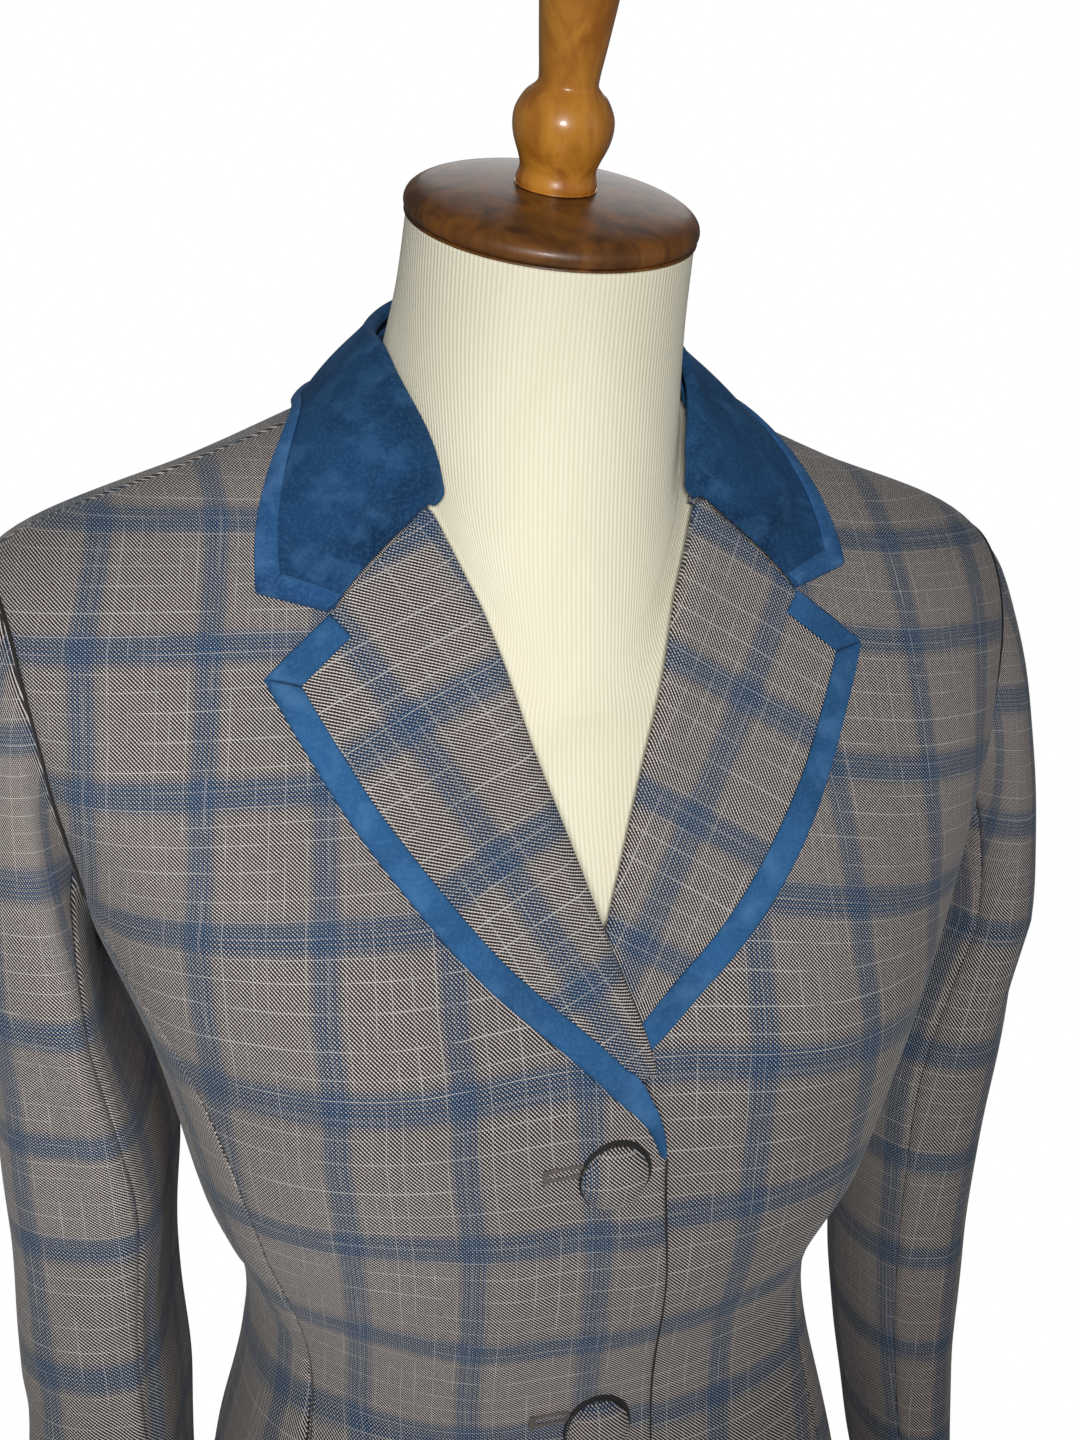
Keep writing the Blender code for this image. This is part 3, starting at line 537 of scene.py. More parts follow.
def add_cloth(name: str, points: Array, lay: Array, side: Side, wall: float, material: bpy.types.Material,
              slot: str, nodes: Sequence[str], held: Hold) -> bpy.types.Object:
    """One cut piece of cloth: a warped grid, its wall, and what it was cut to.

    Args:
        name: the piece's name.
        points: its outer face, built for the wearer's left.
        lay: places on the cut cloth in metres.
        side: RIGHT mirrors it in x.
        wall: its thickness.
        material: its finish.
        slot: the record's material slot.
        nodes: the solids it stands for.
        held: how it is carried; not used.

    Returns:
        The new object.
    """
    points = mirrored(points, side)
    piece = add_piece(name, grid_mesh(name, points, lay, side is Side.RIGHT), material, slot, nodes)
    thickness = piece.modifiers.new("wall", "SOLIDIFY")
    thickness.thickness, thickness.offset = wall, -1
    return piece


def tube(name: str, path: Array, radius: Any, outward: Array, material: bpy.types.Material, slot: str,
         round_steps: int = 8, flat: float = 1.0) -> bpy.types.Object:
    """A closed thread along a path.

    Args:
        name: the piece's name.
        path: points of its middle line.
        radius: one radius, or one for each point.
        outward: outward normals at the points.
        material: its finish.
        slot: the record's material slot.
        round_steps: sides of the thread.
        flat: its height as a share of its width.

    Returns:
        The new object.
    """
    way = unit(np.gradient(path, axis=0))
    across = unit(np.cross(way, outward))
    turn = np.linspace(0, FULL_TURN, round_steps + 1)
    size = np.broadcast_to(radius, len(path))[:, None, None]
    points = (path[:, None] + size * (np.cos(turn)[None, :, None] * across[:, None]
                                      - flat * np.sin(turn)[None, :, None] * unit(outward)[:, None]))
    return add_piece(name, grid_mesh(name, points, None, True, closed=True), material, slot)


def turned_mesh(name: str, profile: Sequence[tuple[float, float]], steps: int, fine: int) -> bpy.types.Mesh:
    """A lathe-turned shape.

    Args:
        name: the mesh's name.
        profile: radius and height from the top's middle to the bottom's middle.
        steps: steps of the full turn.
        fine: points put between two of the profile's, along a smooth curve.

    Returns:
        A closed mesh about its own axis.
    """
    count = len(profile) - 1
    curve = spline(profile, np.linspace(0, count, count * fine + 1))
    shape = bmesh.new()
    line = [shape.verts.new((max(r, 0.0), 0, z)) for r, z in curve.tolist()]
    edges = [shape.edges.new(pair) for pair in zip(line, line[1:])]
    bmesh.ops.spin(shape, geom=line + edges, cent=(0, 0, 0), axis=(0, 0, 1), angle=FULL_TURN, steps=steps,
                   use_merge=True)
    bmesh.ops.remove_doubles(shape, verts=shape.verts, dist=SAME_PLACE)
    bmesh.ops.recalc_face_normals(shape, faces=shape.faces)
    mesh = bpy.data.meshes.new(name)
    shape.to_mesh(mesh)
    shape.free()
    mesh.shade_smooth()
    return mesh


# ---------------------------------------------------------------- finishes


def linear(code: str) -> tuple[float, float, float, float]:
    """A hex colour as linear light, opaque."""
    parts = [int(code[i:i + 2], 16) / 255 for i in (1, 3, 5)]
    return tuple(c / 12.92 if c <= 0.04045 else ((c + 0.055) / 1.055) ** 2.4 for c in parts) + (1.0,)


class Bench:
    """A material's node tree, opened for building."""

    def __init__(self, name: str, **surface: Any) -> None:
        """Starts a material whose Principled surface has the given constant settings."""
        self.material = bpy.data.materials.new(name)
        self.material.use_nodes = True
        self.tree = self.material.node_tree
        self.surface = self.tree.nodes["Principled BSDF"]
        for socket, value in surface.items():
            self.surface.inputs[socket.replace("_", " ")].default_value = value

    def add(self, kind: str, *values: Any, out: Any = 0, **settings: Any) -> Any:
        """Adds one node.

        Args:
            kind: the node's type.
            values: what goes into its sockets, in order, or one dict by name or number: a number, a colour
                or another socket.
            out: the output wanted, by name or number.
            settings: the node's own settings.

        Returns:
            The output socket.
        """
        node = self.tree.nodes.new(kind)
        for setting, value in settings.items():
            setattr(node, setting, value)
        sockets = values[0] if values and isinstance(values[0], dict) else dict(enumerate(values))
        for socket, value in sockets.items():
            if isinstance(value, bpy.types.NodeSocket):
                self.tree.links.new(value, node.inputs[socket])
            else:
                node.inputs[socket].default_value = linear(value) if isinstance(value, str) else value
        return node.outputs[out]

    def finish(self, colour: Any, height: Any, depth: float, strength: float) -> bpy.types.Material:
        """Joins colour and relief to the surface.

        Args:
            colour: the base colour's socket.
            height: the relief's socket.
            depth: how deep the relief is, in metres.
            strength: how much of it shows.

        Returns:
            The material.
        """
        self.tree.links.new(colour, self.surface.inputs["Base Color"])
        bump = self.add("ShaderNodeBump", {"Height": height, "Distance": depth, "Strength": strength})
        self.tree.links.new(bump, self.surface.inputs["Normal"])
        return self.material


@dataclass(frozen=True)
class PlaidTwill:
    """Wool twill: near-black warp under cream weft, crossed by soft blue bands and thin ivory slubs."""

    across: float = 0.049       # one repeat of the plaid
    upward: float = 0.0575
    twill: float = 0.00158      # one twill line, measured across or up
    thread: float = 0.00079
    line: float = 0.00190       # the blue bands' own fine lines
    line_blue: float = 0.22
    # half of each blue band's width, the share of that where the blue is full, and how blue it is
    bands: tuple = (0.0078, 0.0092)
    band_core: float = 0.36
    band_blue: tuple = (0.45, 0.52)
    wander: float = 0.0009
    # from one ivory slub thread to the next, how much of it shows, and how far it is broken up
    slubs: tuple = (0.0068, 0.0088)
    slub_shown: tuple = (0.27, 0.36)
    slub_gaps: tuple = (0.44, 0.38)
    slub_half: tuple = (0.00030, 0.00012)
    dark: str = "#2d2524"
    pale: str = "#e9e1db"
    navy: str = "#153759"
    sky: str = "#a6b8c4"
    ivory: str = "#f4eee6"
    dusk: str = "#5d5450"

    def build(self) -> bpy.types.Material:
        """Returns the material, which reads the piece's own cut."""
        b = Bench("plaid_wool_twill", Roughness=0.88, Sheen_Weight=0.10, Sheen_Roughness=0.5, Specular_IOR_Level=0.22)
        cut = b.add("ShaderNodeUVMap", uv_map="cut")
        # the threads wander by a fraction of a millimetre
        drift = b.add("ShaderNodeTexNoise", {"Vector": cut, "Scale": 70.0, "Detail": 2.0}, out="Color")
        moved = b.add("ShaderNodeVectorMath", {0: drift, 1: (0.5, 0.5, 0.5)}, operation="SUBTRACT")
        moved = b.add("ShaderNodeVectorMath", {0: moved, 1: (self.wander,) * 3, 2: cut}, operation="MULTIPLY_ADD")
        parts = b.add("ShaderNodeSeparateXYZ", {0: moved})
        u, v = parts, parts.node.outputs[1]
        # blue bands with soft sides, made of fine lines, and deepest where they cross
        kept = None
        for at, repeat, wide, deep in zip((u, v), (self.across, self.upward), self.bands, self.band_blue):
            place = b.add(MATH, b.add(MATH, at, 1 / repeat, 0.5, operation="MULTIPLY_ADD"), operation="FRACT")
            off = b.add(MATH, b.add(MATH, b.add(MATH, place, 0.5, operation="SUBTRACT"), operation="ABSOLUTE"),
                        repeat, operation="MULTIPLY")
            band = b.add("ShaderNodeMapRange", {0: off, 1: wide, 2: wide * self.band_core},
                         interpolation_type="SMOOTHSTEP")
            lines = b.add(MATH, b.add(MATH, at, 2 * math.pi / self.line, operation="MULTIPLY"), operation="SINE")
            blue = b.add(MATH, band, b.add(MATH, lines, self.line_blue, deep, operation="MULTIPLY_ADD"),
                         operation="MULTIPLY")
            left = b.add(MATH, 1.0, blue, operation="SUBTRACT")
            kept = left if kept is None else b.add(MATH, kept, left, operation="MULTIPLY")
        blue = b.add(MATH, 1.0, kept, operation="SUBTRACT")
        blue = b.add(MATH, b.add(MATH, blue, 4.0, operation="POWER"), 0.55, blue, operation="MULTIPLY_ADD")
        warp = b.add(MIX, {0: blue, 6: self.dark, 7: self.navy}, out=2, data_type="RGBA")
        weft = b.add(MIX, {0: b.add(MATH, blue, 0.9, operation="MULTIPLY"), 6: self.pale, 7: self.sky}, out=2,
                     data_type="RGBA")
        # the twill: weft floats step one thread to the side on each pick
        slant = b.add(MATH, b.add(MATH, b.add(MATH, u, v, operation="ADD"), 2 * math.pi / self.twill,
                                  operation="MULTIPLY"), operation="SINE")
        picks = b.add(MATH, b.add(MATH, v, 2 * math.pi / self.thread, operation="MULTIPLY"), operation="SINE")
        ends = b.add(MATH, b.add(MATH, u, 2 * math.pi / self.thread, operation="MULTIPLY"), operation="SINE")
        float_up = b.add(MATH, b.add(MATH, picks, ends, operation="ADD"), 0.25, slant, operation="MULTIPLY_ADD")
        float_up = b.add(MATH, blue, -0.38, float_up, operation="MULTIPLY_ADD")
        shown = b.add("ShaderNodeMapRange", {0: float_up, 1: 0.20, 2: 0.80}, interpolation_type="SMOOTHSTEP")
        colour = b.add(MIX, {0: shown, 6: warp, 7: weft}, out=2, data_type="RGBA")
        # ivory slub threads, broken up along their length
        for axis, at, other, share, gate in zip((0, 1), (u, v), (v, u), self.slub_shown, self.slub_gaps):
            uneven = b.add(MATH, b.add(MATH, at, 2 * math.pi / (6.2 * self.slubs[axis]), operation="MULTIPLY"),
                           operation="SINE")
            spot = b.add(MATH, at, 1 / self.slubs[axis], b.add(MATH, uneven, 0.30, operation="MULTIPLY"),
                         operation="MULTIPLY_ADD")
            line = b.add(MATH, b.add(MATH, spot, operation="FRACT"), 0.5, operation="SUBTRACT")
            line = b.add(MATH, b.add(MATH, line, operation="ABSOLUTE"), self.slubs[axis], operation="MULTIPLY")
            thin = b.add("ShaderNodeMapRange", {0: line, 1: self.slub_half[0], 2: self.slub_half[1]},
                         interpolation_type="SMOOTHSTEP")
            streak = b.add("ShaderNodeCombineXYZ",
                           {0: b.add(MATH, b.add(MATH, spot, operation="FLOOR"), 3.7, operation="MULTIPLY"),
                            1: b.add(MATH, other, 30.0, operation="MULTIPLY"), 2: 7.0 * axis})
            broken = b.add("ShaderNodeTexNoise", {"Vector": streak, "Scale": 1.0, "Detail": 2.0})
            whole = b.add("ShaderNodeMapRange", {0: broken, 1: gate, 2: gate + 0.14})
            dots = b.add(MATH, (picks, ends)[axis ^ 1], 0.3, 0.7, operation="MULTIPLY_ADD")
            streaks = b.add(MATH, b.add(MATH, thin, whole, operation="MULTIPLY"), dots, operation="MULTIPLY")
            streaks = b.add(MATH, streaks, share, operation="MULTIPLY")
            colour = b.add(MIX, {0: streaks, 6: colour, 7: self.ivory}, out=2, data_type="RGBA")
        # slow change of shade as hung cloth has
        shade = b.add("ShaderNodeTexNoise", {"Vector": cut, "Scale": 9.0, "Detail": 3.0})
        colour = b.add(MIX, {0: b.add("ShaderNodeMapRange", {0: shade, 1: 0.3, 2: 0.7, 3: 0.0, 4: 0.10}), 6: colour,
                             7: self.dusk}, out=2, data_type="RGBA")
        height = b.add(MATH, shown, 0.7, b.add(MATH, b.add(MATH, picks, ends, operation="ADD"), 0.12,
                                               operation="MULTIPLY"), operation="MULTIPLY_ADD")
        return b.finish(colour, height, 0.00022, 0.5)


@dataclass(frozen=True)
class Velvet:
    """Cotton velvet: a deep pile that is dark face on and brushed; where the nap turns away it is lighter, partly by
    its own sheen and partly by painted sheen in the colour.
    """

    name: str
    deep: str
    body: str
    light: str
    sheen: float = 0.10
    pile: float = 1500.0

    def build(self) -> bpy.types.Material:
        """Returns the material, whose pile is in object space."""
        b = Bench(self.name, Roughness=0.9, Sheen_Weight=self.sheen, Sheen_Roughness=0.32, Specular_IOR_Level=0.12,
                  Sheen_Tint=linear(self.light))
        at = b.add("ShaderNodeTexCoord", out="Object")
        brushed = b.add("ShaderNodeTexNoise", {"Vector": at, "Scale": 30.0, "Detail": 2.5, "Distortion": 0.3})
        strokes = b.add("ShaderNodeTexNoise", {"Vector": at, "Scale": 75.0, "Detail": 3.0, "Distortion": 0.5})
        fleck = b.add("ShaderNodeTexNoise", {"Vector": at, "Scale": self.pile * 0.55, "Detail": 1.0})
        colour = b.add(MIX, {0: b.add("ShaderNodeMapRange", {0: brushed, 1: 0.34, 2: 0.62}), 6: self.deep,
                             7: self.body}, out=2, data_type="RGBA")
        colour = b.add(MIX, {0: b.add("ShaderNodeMapRange", {0: strokes, 1: 0.50, 2: 0.74, 4: 0.55}), 6: colour,
                             7: self.light}, out=2, data_type="RGBA")
        colour = b.add(MIX, {0: b.add("ShaderNodeMapRange", {0: fleck, 1: 0.45, 2: 0.70, 4: 0.22}), 6: colour,
                             7: self.light}, out=2, data_type="RGBA")
        # painted sheen: the colour is mixed towards the light tone where the surface turns away from view
        rim = b.add("ShaderNodeLayerWeight", {0: 0.35}, out="Facing")
        colour = b.add(MIX, {0: b.add(MATH, rim, 0.35, operation="MULTIPLY"), 6: colour, 7: self.light}, out=2,
                       data_type="RGBA")
        height = b.add("ShaderNodeTexNoise", {"Vector": at, "Scale": self.pile, "Detail": 2.0})
        return b.finish(colour, height, 0.0004, 0.35)


@dataclass(frozen=True)
class Jersey:
    """Cream cotton jersey stretched on the form: fine upright ribs with shadow between them."""

    rib: float = 0.00185
    shade: str = "#ece5c9"
    face: str = "#faf4dc"
    worn: str = "#d8d2ae"

    def build(self) -> bpy.types.Material:
        """Returns the material, which reads the piece's own cut."""
        b = Bench("cream_jersey", Roughness=0.92, Sheen_Weight=0.15, Sheen_Roughness=0.5, Specular_IOR_Level=0.2)
        cut = b.add("ShaderNodeUVMap", uv_map="cut")
        parts = b.add("ShaderNodeSeparateXYZ", {0: cut})
        rib = b.add(MATH, b.add(MATH, parts, 2 * math.pi / self.rib, operation="MULTIPLY"), operation="SINE")
        loop = b.add(MATH, b.add(MATH, parts.node.outputs[1], 2 * math.pi / (self.rib * 0.7), operation="MULTIPLY"),
                     operation="SINE")
        raised = b.add(MATH, loop, 0.12, b.add(MATH, rib, 0.5, 0.5, operation="MULTIPLY_ADD"),
                       operation="MULTIPLY_ADD")
        colour = b.add(MIX, {0: b.add("ShaderNodeMapRange", {0: raised, 1: 0.0, 2: 0.75}), 6: self.shade,
                             7: self.face}, out=2, data_type="RGBA")
        soft = b.add("ShaderNodeTexNoise", {"Vector": cut, "Scale": 18.0, "Detail": 3.0})
        colour = b.add(MIX, {0: b.add("ShaderNodeMapRange", {0: soft, 1: 0.35, 2: 0.75, 4: 0.22}), 6: colour,
                             7: self.worn}, out=2, data_type="RGBA")
        return b.finish(colour, raised, 0.0003, 0.5)


@dataclass(frozen=True)
class TurnedWood:
    """Stained and lacquered wood whose grain runs along the turned axis."""

    name: str
    dark: str
    light: str
    roughness: float
    coat: float

    def build(self) -> bpy.types.Material:
        """Returns the material, with its grain in object space."""
        b = Bench(self.name, Roughness=self.roughness, Coat_Weight=self.coat, Coat_Roughness=0.12)
        at = b.add("ShaderNodeTexCoord", out="Object")
        long = b.add("ShaderNodeVectorMath", {0: at, 1: (95.0, 95.0, 11.0)}, operation="MULTIPLY")
        grain = b.add("ShaderNodeTexNoise", {"Vector": long, "Scale": 1.0, "Detail": 5.0, "Distortion": 0.8})
        pores = b.add("ShaderNodeTexNoise", {"Vector": long, "Scale": 9.0, "Detail": 2.0})
        colour = b.add(MIX, {0: b.add("ShaderNodeMapRange", {0: grain, 1: 0.35, 2: 0.68}), 6: self.dark,
                             7: self.light}, out=2, data_type="RGBA")
        colour = b.add(MIX, {0: b.add("ShaderNodeMapRange", {0: pores, 1: 0.58, 2: 0.75, 4: 0.35}), 6: colour,
                             7: self.dark}, out=2, data_type="RGBA")
        return b.finish(colour, grain, 0.0002, 0.15)


@dataclass(frozen=True)
class Thread:
    """Sewing thread, with painted shade between its twisted strands."""

    name: str
    colour: str
    # near-black for the painted shade between the strands
    between: str = "#0d0c0d"

    def build(self) -> bpy.types.Material:
        """Returns the material, with a twist in its relief."""
        b = Bench(self.name, Roughness=0.75, Sheen_Weight=0.2)
        at = b.add("ShaderNodeTexCoord", out="Object")
        twist = b.add("ShaderNodeTexNoise", {"Vector": at, "Scale": 1400.0, "Detail": 1.0})
        # painted shade: the twist's noise mixes the colour towards near-black between the strands
        return b.finish(b.add(MIX, {0: b.add(MATH, twist, 0.5, operation="MULTIPLY"), 6: self.colour,
                                    7: self.between}, out=2, data_type="RGBA"), twist, 0.0002, 0.5)


# ---------------------------------------------------------------- the plaid's lay on each piece


@dataclass(frozen=True)
class PlaidLay:
    """Where the plaid's blue lines lie on the coat, piece by piece, as the cutter matched them."""

    across: float = 0.049
    upward: float = 0.0575
    # height, then distance from the middle of each upright blue line
    upright_right: tuple = ((0.165, 0.000, 0.049, 0.092, 0.136, 0.178), (0.300, 0.000, 0.048, 0.088, 0.128, 0.165),
                            (0.408, 0.000, 0.049, 0.088, 0.122, 0.150), (0.450, 0.001, 0.050, 0.090, 0.122, 0.148),
                            (0.505, 0.004, 0.053, 0.097, 0.131, 0.158), (0.545, 0.010, 0.0585, 0.1034, 0.138, 0.168),
                            (0.600, 0.0125, 0.061, 0.106, 0.145, 0.176),
                            (0.629, 0.0125, 0.0605, 0.1045, 0.1467, 0.1795),
                            (0.676, 0.0125, 0.060, 0.099, 0.142, 0.1804),
                            (0.7255, 0.0125, 0.058, 0.0945, 0.1336, 0.177),
                            (0.765, 0.0125, 0.056, 0.090, 0.125, 0.165))
    upright_left: tuple = ((0.165, 0.010, 0.061, 0.111, 0.157, 0.197), (0.300, 0.010, 0.061, 0.112, 0.155, 0.190),
                           (0.408, 0.012, 0.062, 0.112, 0.147, 0.175), (0.505, 0.012, 0.062, 0.114, 0.148, 0.175),
                           (0.560, 0.010, 0.0597, 0.1075, 0.147, 0.177), (0.600, 0.010, 0.0598, 0.1025, 0.1453, 0.176),
                           (0.650, 0.010, 0.0594, 0.0995, 0.143, 0.171), (0.675, 0.010, 0.058, 0.097, 0.143, 0.1715),
                           (0.714, 0.010, 0.056, 0.0955, 0.1433, 0.178), (0.758, 0.010, 0.054, 0.095, 0.1427, 0.1845))
    # height of each level blue line, counted from the one at the bust
    first_level: int = -8
    level_right: tuple = (0.127, 0.184, 0.241, 0.297, 0.352, 0.405, 0.447, 0.5015, 0.570, 0.631, 0.678, 0.7255,
                          0.766, 0.800, 0.832, 0.880)
    level_left: tuple = (0.124, 0.180, 0.236, 0.291, 0.345, 0.399, 0.444, 0.500, 0.5655, 0.628, 0.6765, 0.7245,
                         0.760, 0.797, 0.829, 0.880)
    sleeve_right: tuple = (0.127, 0.180, 0.232, 0.285, 0.337, 0.390, 0.446, 0.504, 0.5465, 0.592, 0.646, 0.695,
                           0.742, 0.786, 0.835)
    sleeve_left: tuple = (0.120, 0.172, 0.225, 0.278, 0.330, 0.380, 0.4256, 0.4735, 0.527, 0.585, 0.630, 0.682,
                          0.731, 0.776, 0.825)
    # where the level lines leave their own height: the dip round the waist, the droop by the free edge and
    # the rise towards the left shoulder, each as metres and then where it holds across and up
    waist_dip: tuple = (0.017, 0.030, 0.105, 0.455, 0.055)
    edge_droop: tuple = (0.004, -0.02, 0.022, 0.36, 0.46)
    left_rise: tuple = (0.011, 0.05, 0.15, 0.58, 0.62)

    def level(self, side: Side, x: Array, z: Array) -> Array:
        """Place up the cut cloth of a point of the body, in metres."""
        if side is Side.RIGHT:
            far, near, out, middle, tall = self.waist_dip
            z = z - far * np.exp(-((z - middle) / tall) ** 2) * smooth(near, out, x)
            far, near, out, low, high = self.edge_droop
            z = z + far * (1 - smooth(near, out, x)) * smooth(low, high, z)
            lines = self.level_right
        else:
            far, near, out, low, high = self.left_rise
            z = z + far * smooth(near, out, x) * smooth(low, high, z)
            lines = self.level_left
        return self.upward * (np.interp(z, lines, np.arange(len(lines))) + self.first_level)

    def sleeve_level(self, side: Side, z: Array) -> Array:
        """Place up the cut cloth of a point of a sleeve, in metres."""
        lines = self.sleeve_right if side is Side.RIGHT else self.sleeve_left
        return self.upward * np.interp(z, lines, np.arange(len(lines)))

    def upright(self, side: Side, x: Array, z: Array) -> Array:
        """Place across the cut cloth of a point of a front, in metres from its first line outwards."""
        table = np.array(self.upright_right if side is Side.RIGHT else self.upright_left)
        lines = [np.interp(z, table[:, 0], table[:, column]) for column in range(1, table.shape[1])]
        count = (x - lines[0]) / (lines[1] - lines[0])
        for index in range(1, len(lines) - 1):
            past = (x - lines[index]) / (lines[index + 1] - lines[index]) + index
            count = np.where(x > lines[index], past, count)
        return self.across * count

    def outward(self, side: Side, across: Array, up: Array) -> Array:
        """Joins the two places, turned so that the first always runs right as seen from outside."""
        return np.stack((across * side.value, np.broadcast_to(up, across.shape)), -1)


# ---------------------------------------------------------------- fronts, sides and backs


@dataclass
class Body:
    """The six panels of the coat's body."""

    form: CoatForm
    lay: PlaidLay
    cloth: bpy.types.Material
    wall: float = 0.0016
    seam_air: float = 0.0004
    seam_deep: float = 0.0009
    seam_wide: float = 0.0020
    rim: tuple = (0.0006, 0.0008)   # depth and width of the free edge's own turn
    columns: tuple = (96, 40, 52)
    low_rows: int = 120
    least_rise: float = 0.008       # rows round the armhole are at least this much of a level apart
    side_below: float = 0.006
    side_wide: float = 0.08
    shoulder_rows: int = 30
    unevenness: float = 0.0007
    right_folds: tuple = (
        Crease((-0.0110, -0.098, 0.5490), (0.0100, -0.098, 0.5470), 0.0016, 0.0050),
        Crease((-0.0135, -0.098, 0.5480), (-0.0165, -0.094, 0.5150), 0.0014, 0.0035),
        Crease((-0.0190, -0.098, 0.5480), (-0.0205, -0.094, 0.5120), -0.0010, 0.0035),
        Crease((0.0320, -0.110, 0.512), (0.078, -0.105, 0.560), 0.0007, 0.012),
        Crease((0.0100, -0.095, 0.455), (0.050, -0.092, 0.440), 0.0009, 0.010),
        Crease((0.0950, -0.075, 0.430), (0.060, -0.093, 0.405), 0.0012, 0.010),
        Crease((0.1560, -0.060, 0.640), (0.118, -0.100, 0.575), 0.0012, 0.014),
        Crease((0.1600, -0.050, 0.700), (0.140, -0.075, 0.640), 0.0009, 0.012),
        Crease((0.0900, -0.095, 0.360), (0.115, -0.105, 0.200), 0.0022, 0.018),
        Crease((0.0350, -0.120, 0.330), (0.045, -0.140, 0.180), 0.0016, 0.020),
    )
    left_folds: tuple = (
        Crease((0.0950, -0.078, 0.452), (0.055, -0.095, 0.425), 0.0014, 0.010),
        Crease((0.1050, -0.072, 0.470), (0.075, -0.093, 0.470), 0.0012, 0.009),
        Crease((0.0300, -0.103, 0.470), (0.012, -0.098, 0.440), 0.0010, 0.009),
        Crease((0.1580, -0.060, 0.640), (0.122, -0.100, 0.580), 0.0012, 0.014),
        Crease((0.1250, -0.088, 0.560), (0.118, -0.083, 0.500), 0.0010, 0.012),
        Crease((0.0900, -0.095, 0.360), (0.115, -0.105, 0.200), 0.0020, 0.018),
        Crease((0.0450, -0.118, 0.330), (0.055, -0.138, 0.180), 0.0016, 0.020),
    )
    side_folds: tuple = (
        Crease((0.1228, -0.055, 0.4730), (0.1088, -0.080, 0.4650), 0.0030, 0.0055),
        Crease((0.1200, -0.010, 0.4600), (0.1230, -0.052, 0.4700), 0.0020, 0.0070),
        Crease((0.1180, -0.030, 0.4420), (0.1060, -0.078, 0.4300), 0.0018, 0.0090),
        Crease((0.1300, -0.060, 0.3950), (0.1520, -0.075, 0.1800), 0.0030, 0.0140),
        Crease((0.1400, -0.020, 0.3800), (0.1700, -0.025, 0.1700), 0.0030, 0.0160),
        Crease((0.1280, 0.030, 0.3900), (0.1600, 0.050, 0.1700), 0.0026, 0.0150),
    )
    back_folds: tuple = (
        Crease((0.0900, 0.075, 0.475), (0.030, 0.086, 0.455), 0.0016, 0.010),
        Crease((0.0950, 0.070, 0.440), (0.040, 0.084, 0.425), 0.0014, 0.009),
        Crease((0.1450, 0.070, 0.640), (0.105, 0.095, 0.560), 0.0016, 0.014),
        Crease((0.0600, 0.105, 0.370), (0.080, 0.135, 0.180), 0.0022, 0.018),
    )

    def seam_tracks(self) -> tuple[tuple[Array, Array], tuple[Array, Array], float, float]:
        """The front and back seams, and the turns at which they meet the armhole."""
        front, back = track(self.form.front_seam), track(self.form.back_seam)
        meets_front = self.form.seam_meets(self.form.front_seam, 90, 180)
        meets_back = self.form.seam_meets(self.form.back_seam, -90, -180)
        return front, back, meets_front, meets_back

    def outer_rows(self, seam: tuple[Array, Array], meets: float) -> tuple[Array, Array]:
        """Levels and angles of a panel's outer edge: up its seam, round the armhole, up the shoulder."""
        top = float(self.form.armhole(np.array(meets))[1])
        levels = np.linspace(0, top, self.low_rows)
        angles = np.interp(levels, *seam)
        round_angle, round_level = self.form.armhole(np.linspace(meets, 0, 90)[1:])
        apart = np.concatenate(([True], np.diff(np.floor(round_level / self.least_rise)) > 0))
        apart[-1] = True
        apart[-4:-1] = False
        round_angle, round_level = round_angle[apart], round_level[apart]
        shoulder = np.linspace(round_level[-1], self.form.neck - 0.004, self.shoulder_rows)[1:]
        return (np.concatenate((levels, round_level, shoulder)),
                np.concatenate((angles, round_angle, 0 * shoulder)))

    def panel(self, name: str, side: Side, level: Array, start: Array, end: Array, columns: int,
              folds: Sequence[Crease], free_edge: bool) -> bpy.types.Object:
        """Builds a front or a back.

        Args:
            name: the solid that it stands for.
            side: the wearer's side.
            level: each row's level.
            start: each row's first angle.
            end: each row's last angle.
            columns: points in a row.
            folds: its creases.
            free_edge: True where the rows start at an edge that isn't sewn.

        Returns:
            The piece.
        """
        share = crowded(columns)
        angle = lerp(start[:, None], end[:, None], share[None, :])
        tall = np.broadcast_to(level[:, None], angle.shape)
        base = self.form.surface(angle, tall)
        width = arc_of(base, 1)[:, -1:]
        inset = self.seam_air / 2 / np.maximum(width, 0.004)
        angle = lerp(start[:, None], end[:, None], lerp(inset, 1 - inset, share[None, :]))
        base = self.form.surface(angle, tall)
        under = 0.0
        if side is Side.LEFT:
            under = np.where(base[..., 1] < 0, self.form.drop(base[..., 0], base[..., 2]), 0.0)
        points = self.form.hang(self.form.point(angle, tall, -under), side)
        if not free_edge:
            points[:, -1, 0] = self.seam_air / 2
        run = arc_of(points, 1)
        sunk = sunk_sides(run, self.seam_deep, self.seam_wide, self.rim if free_edge else None)
        outward = grid_normals(points)
        points = creased(points, folds, self.unevenness, side.value + columns, outward) - outward * sunk[..., None]
        x, z = points[..., 0], points[..., 2]
        across = self.lay.upright(side, x, z) if free_edge else run - run[:, -1:]
        lay = self.lay.outward(side, across, self.lay.level(side, x, z))
        return add_cloth(name, points, lay, side, self.wall, self.cloth, "wool", (name,), Hold.HUNG)

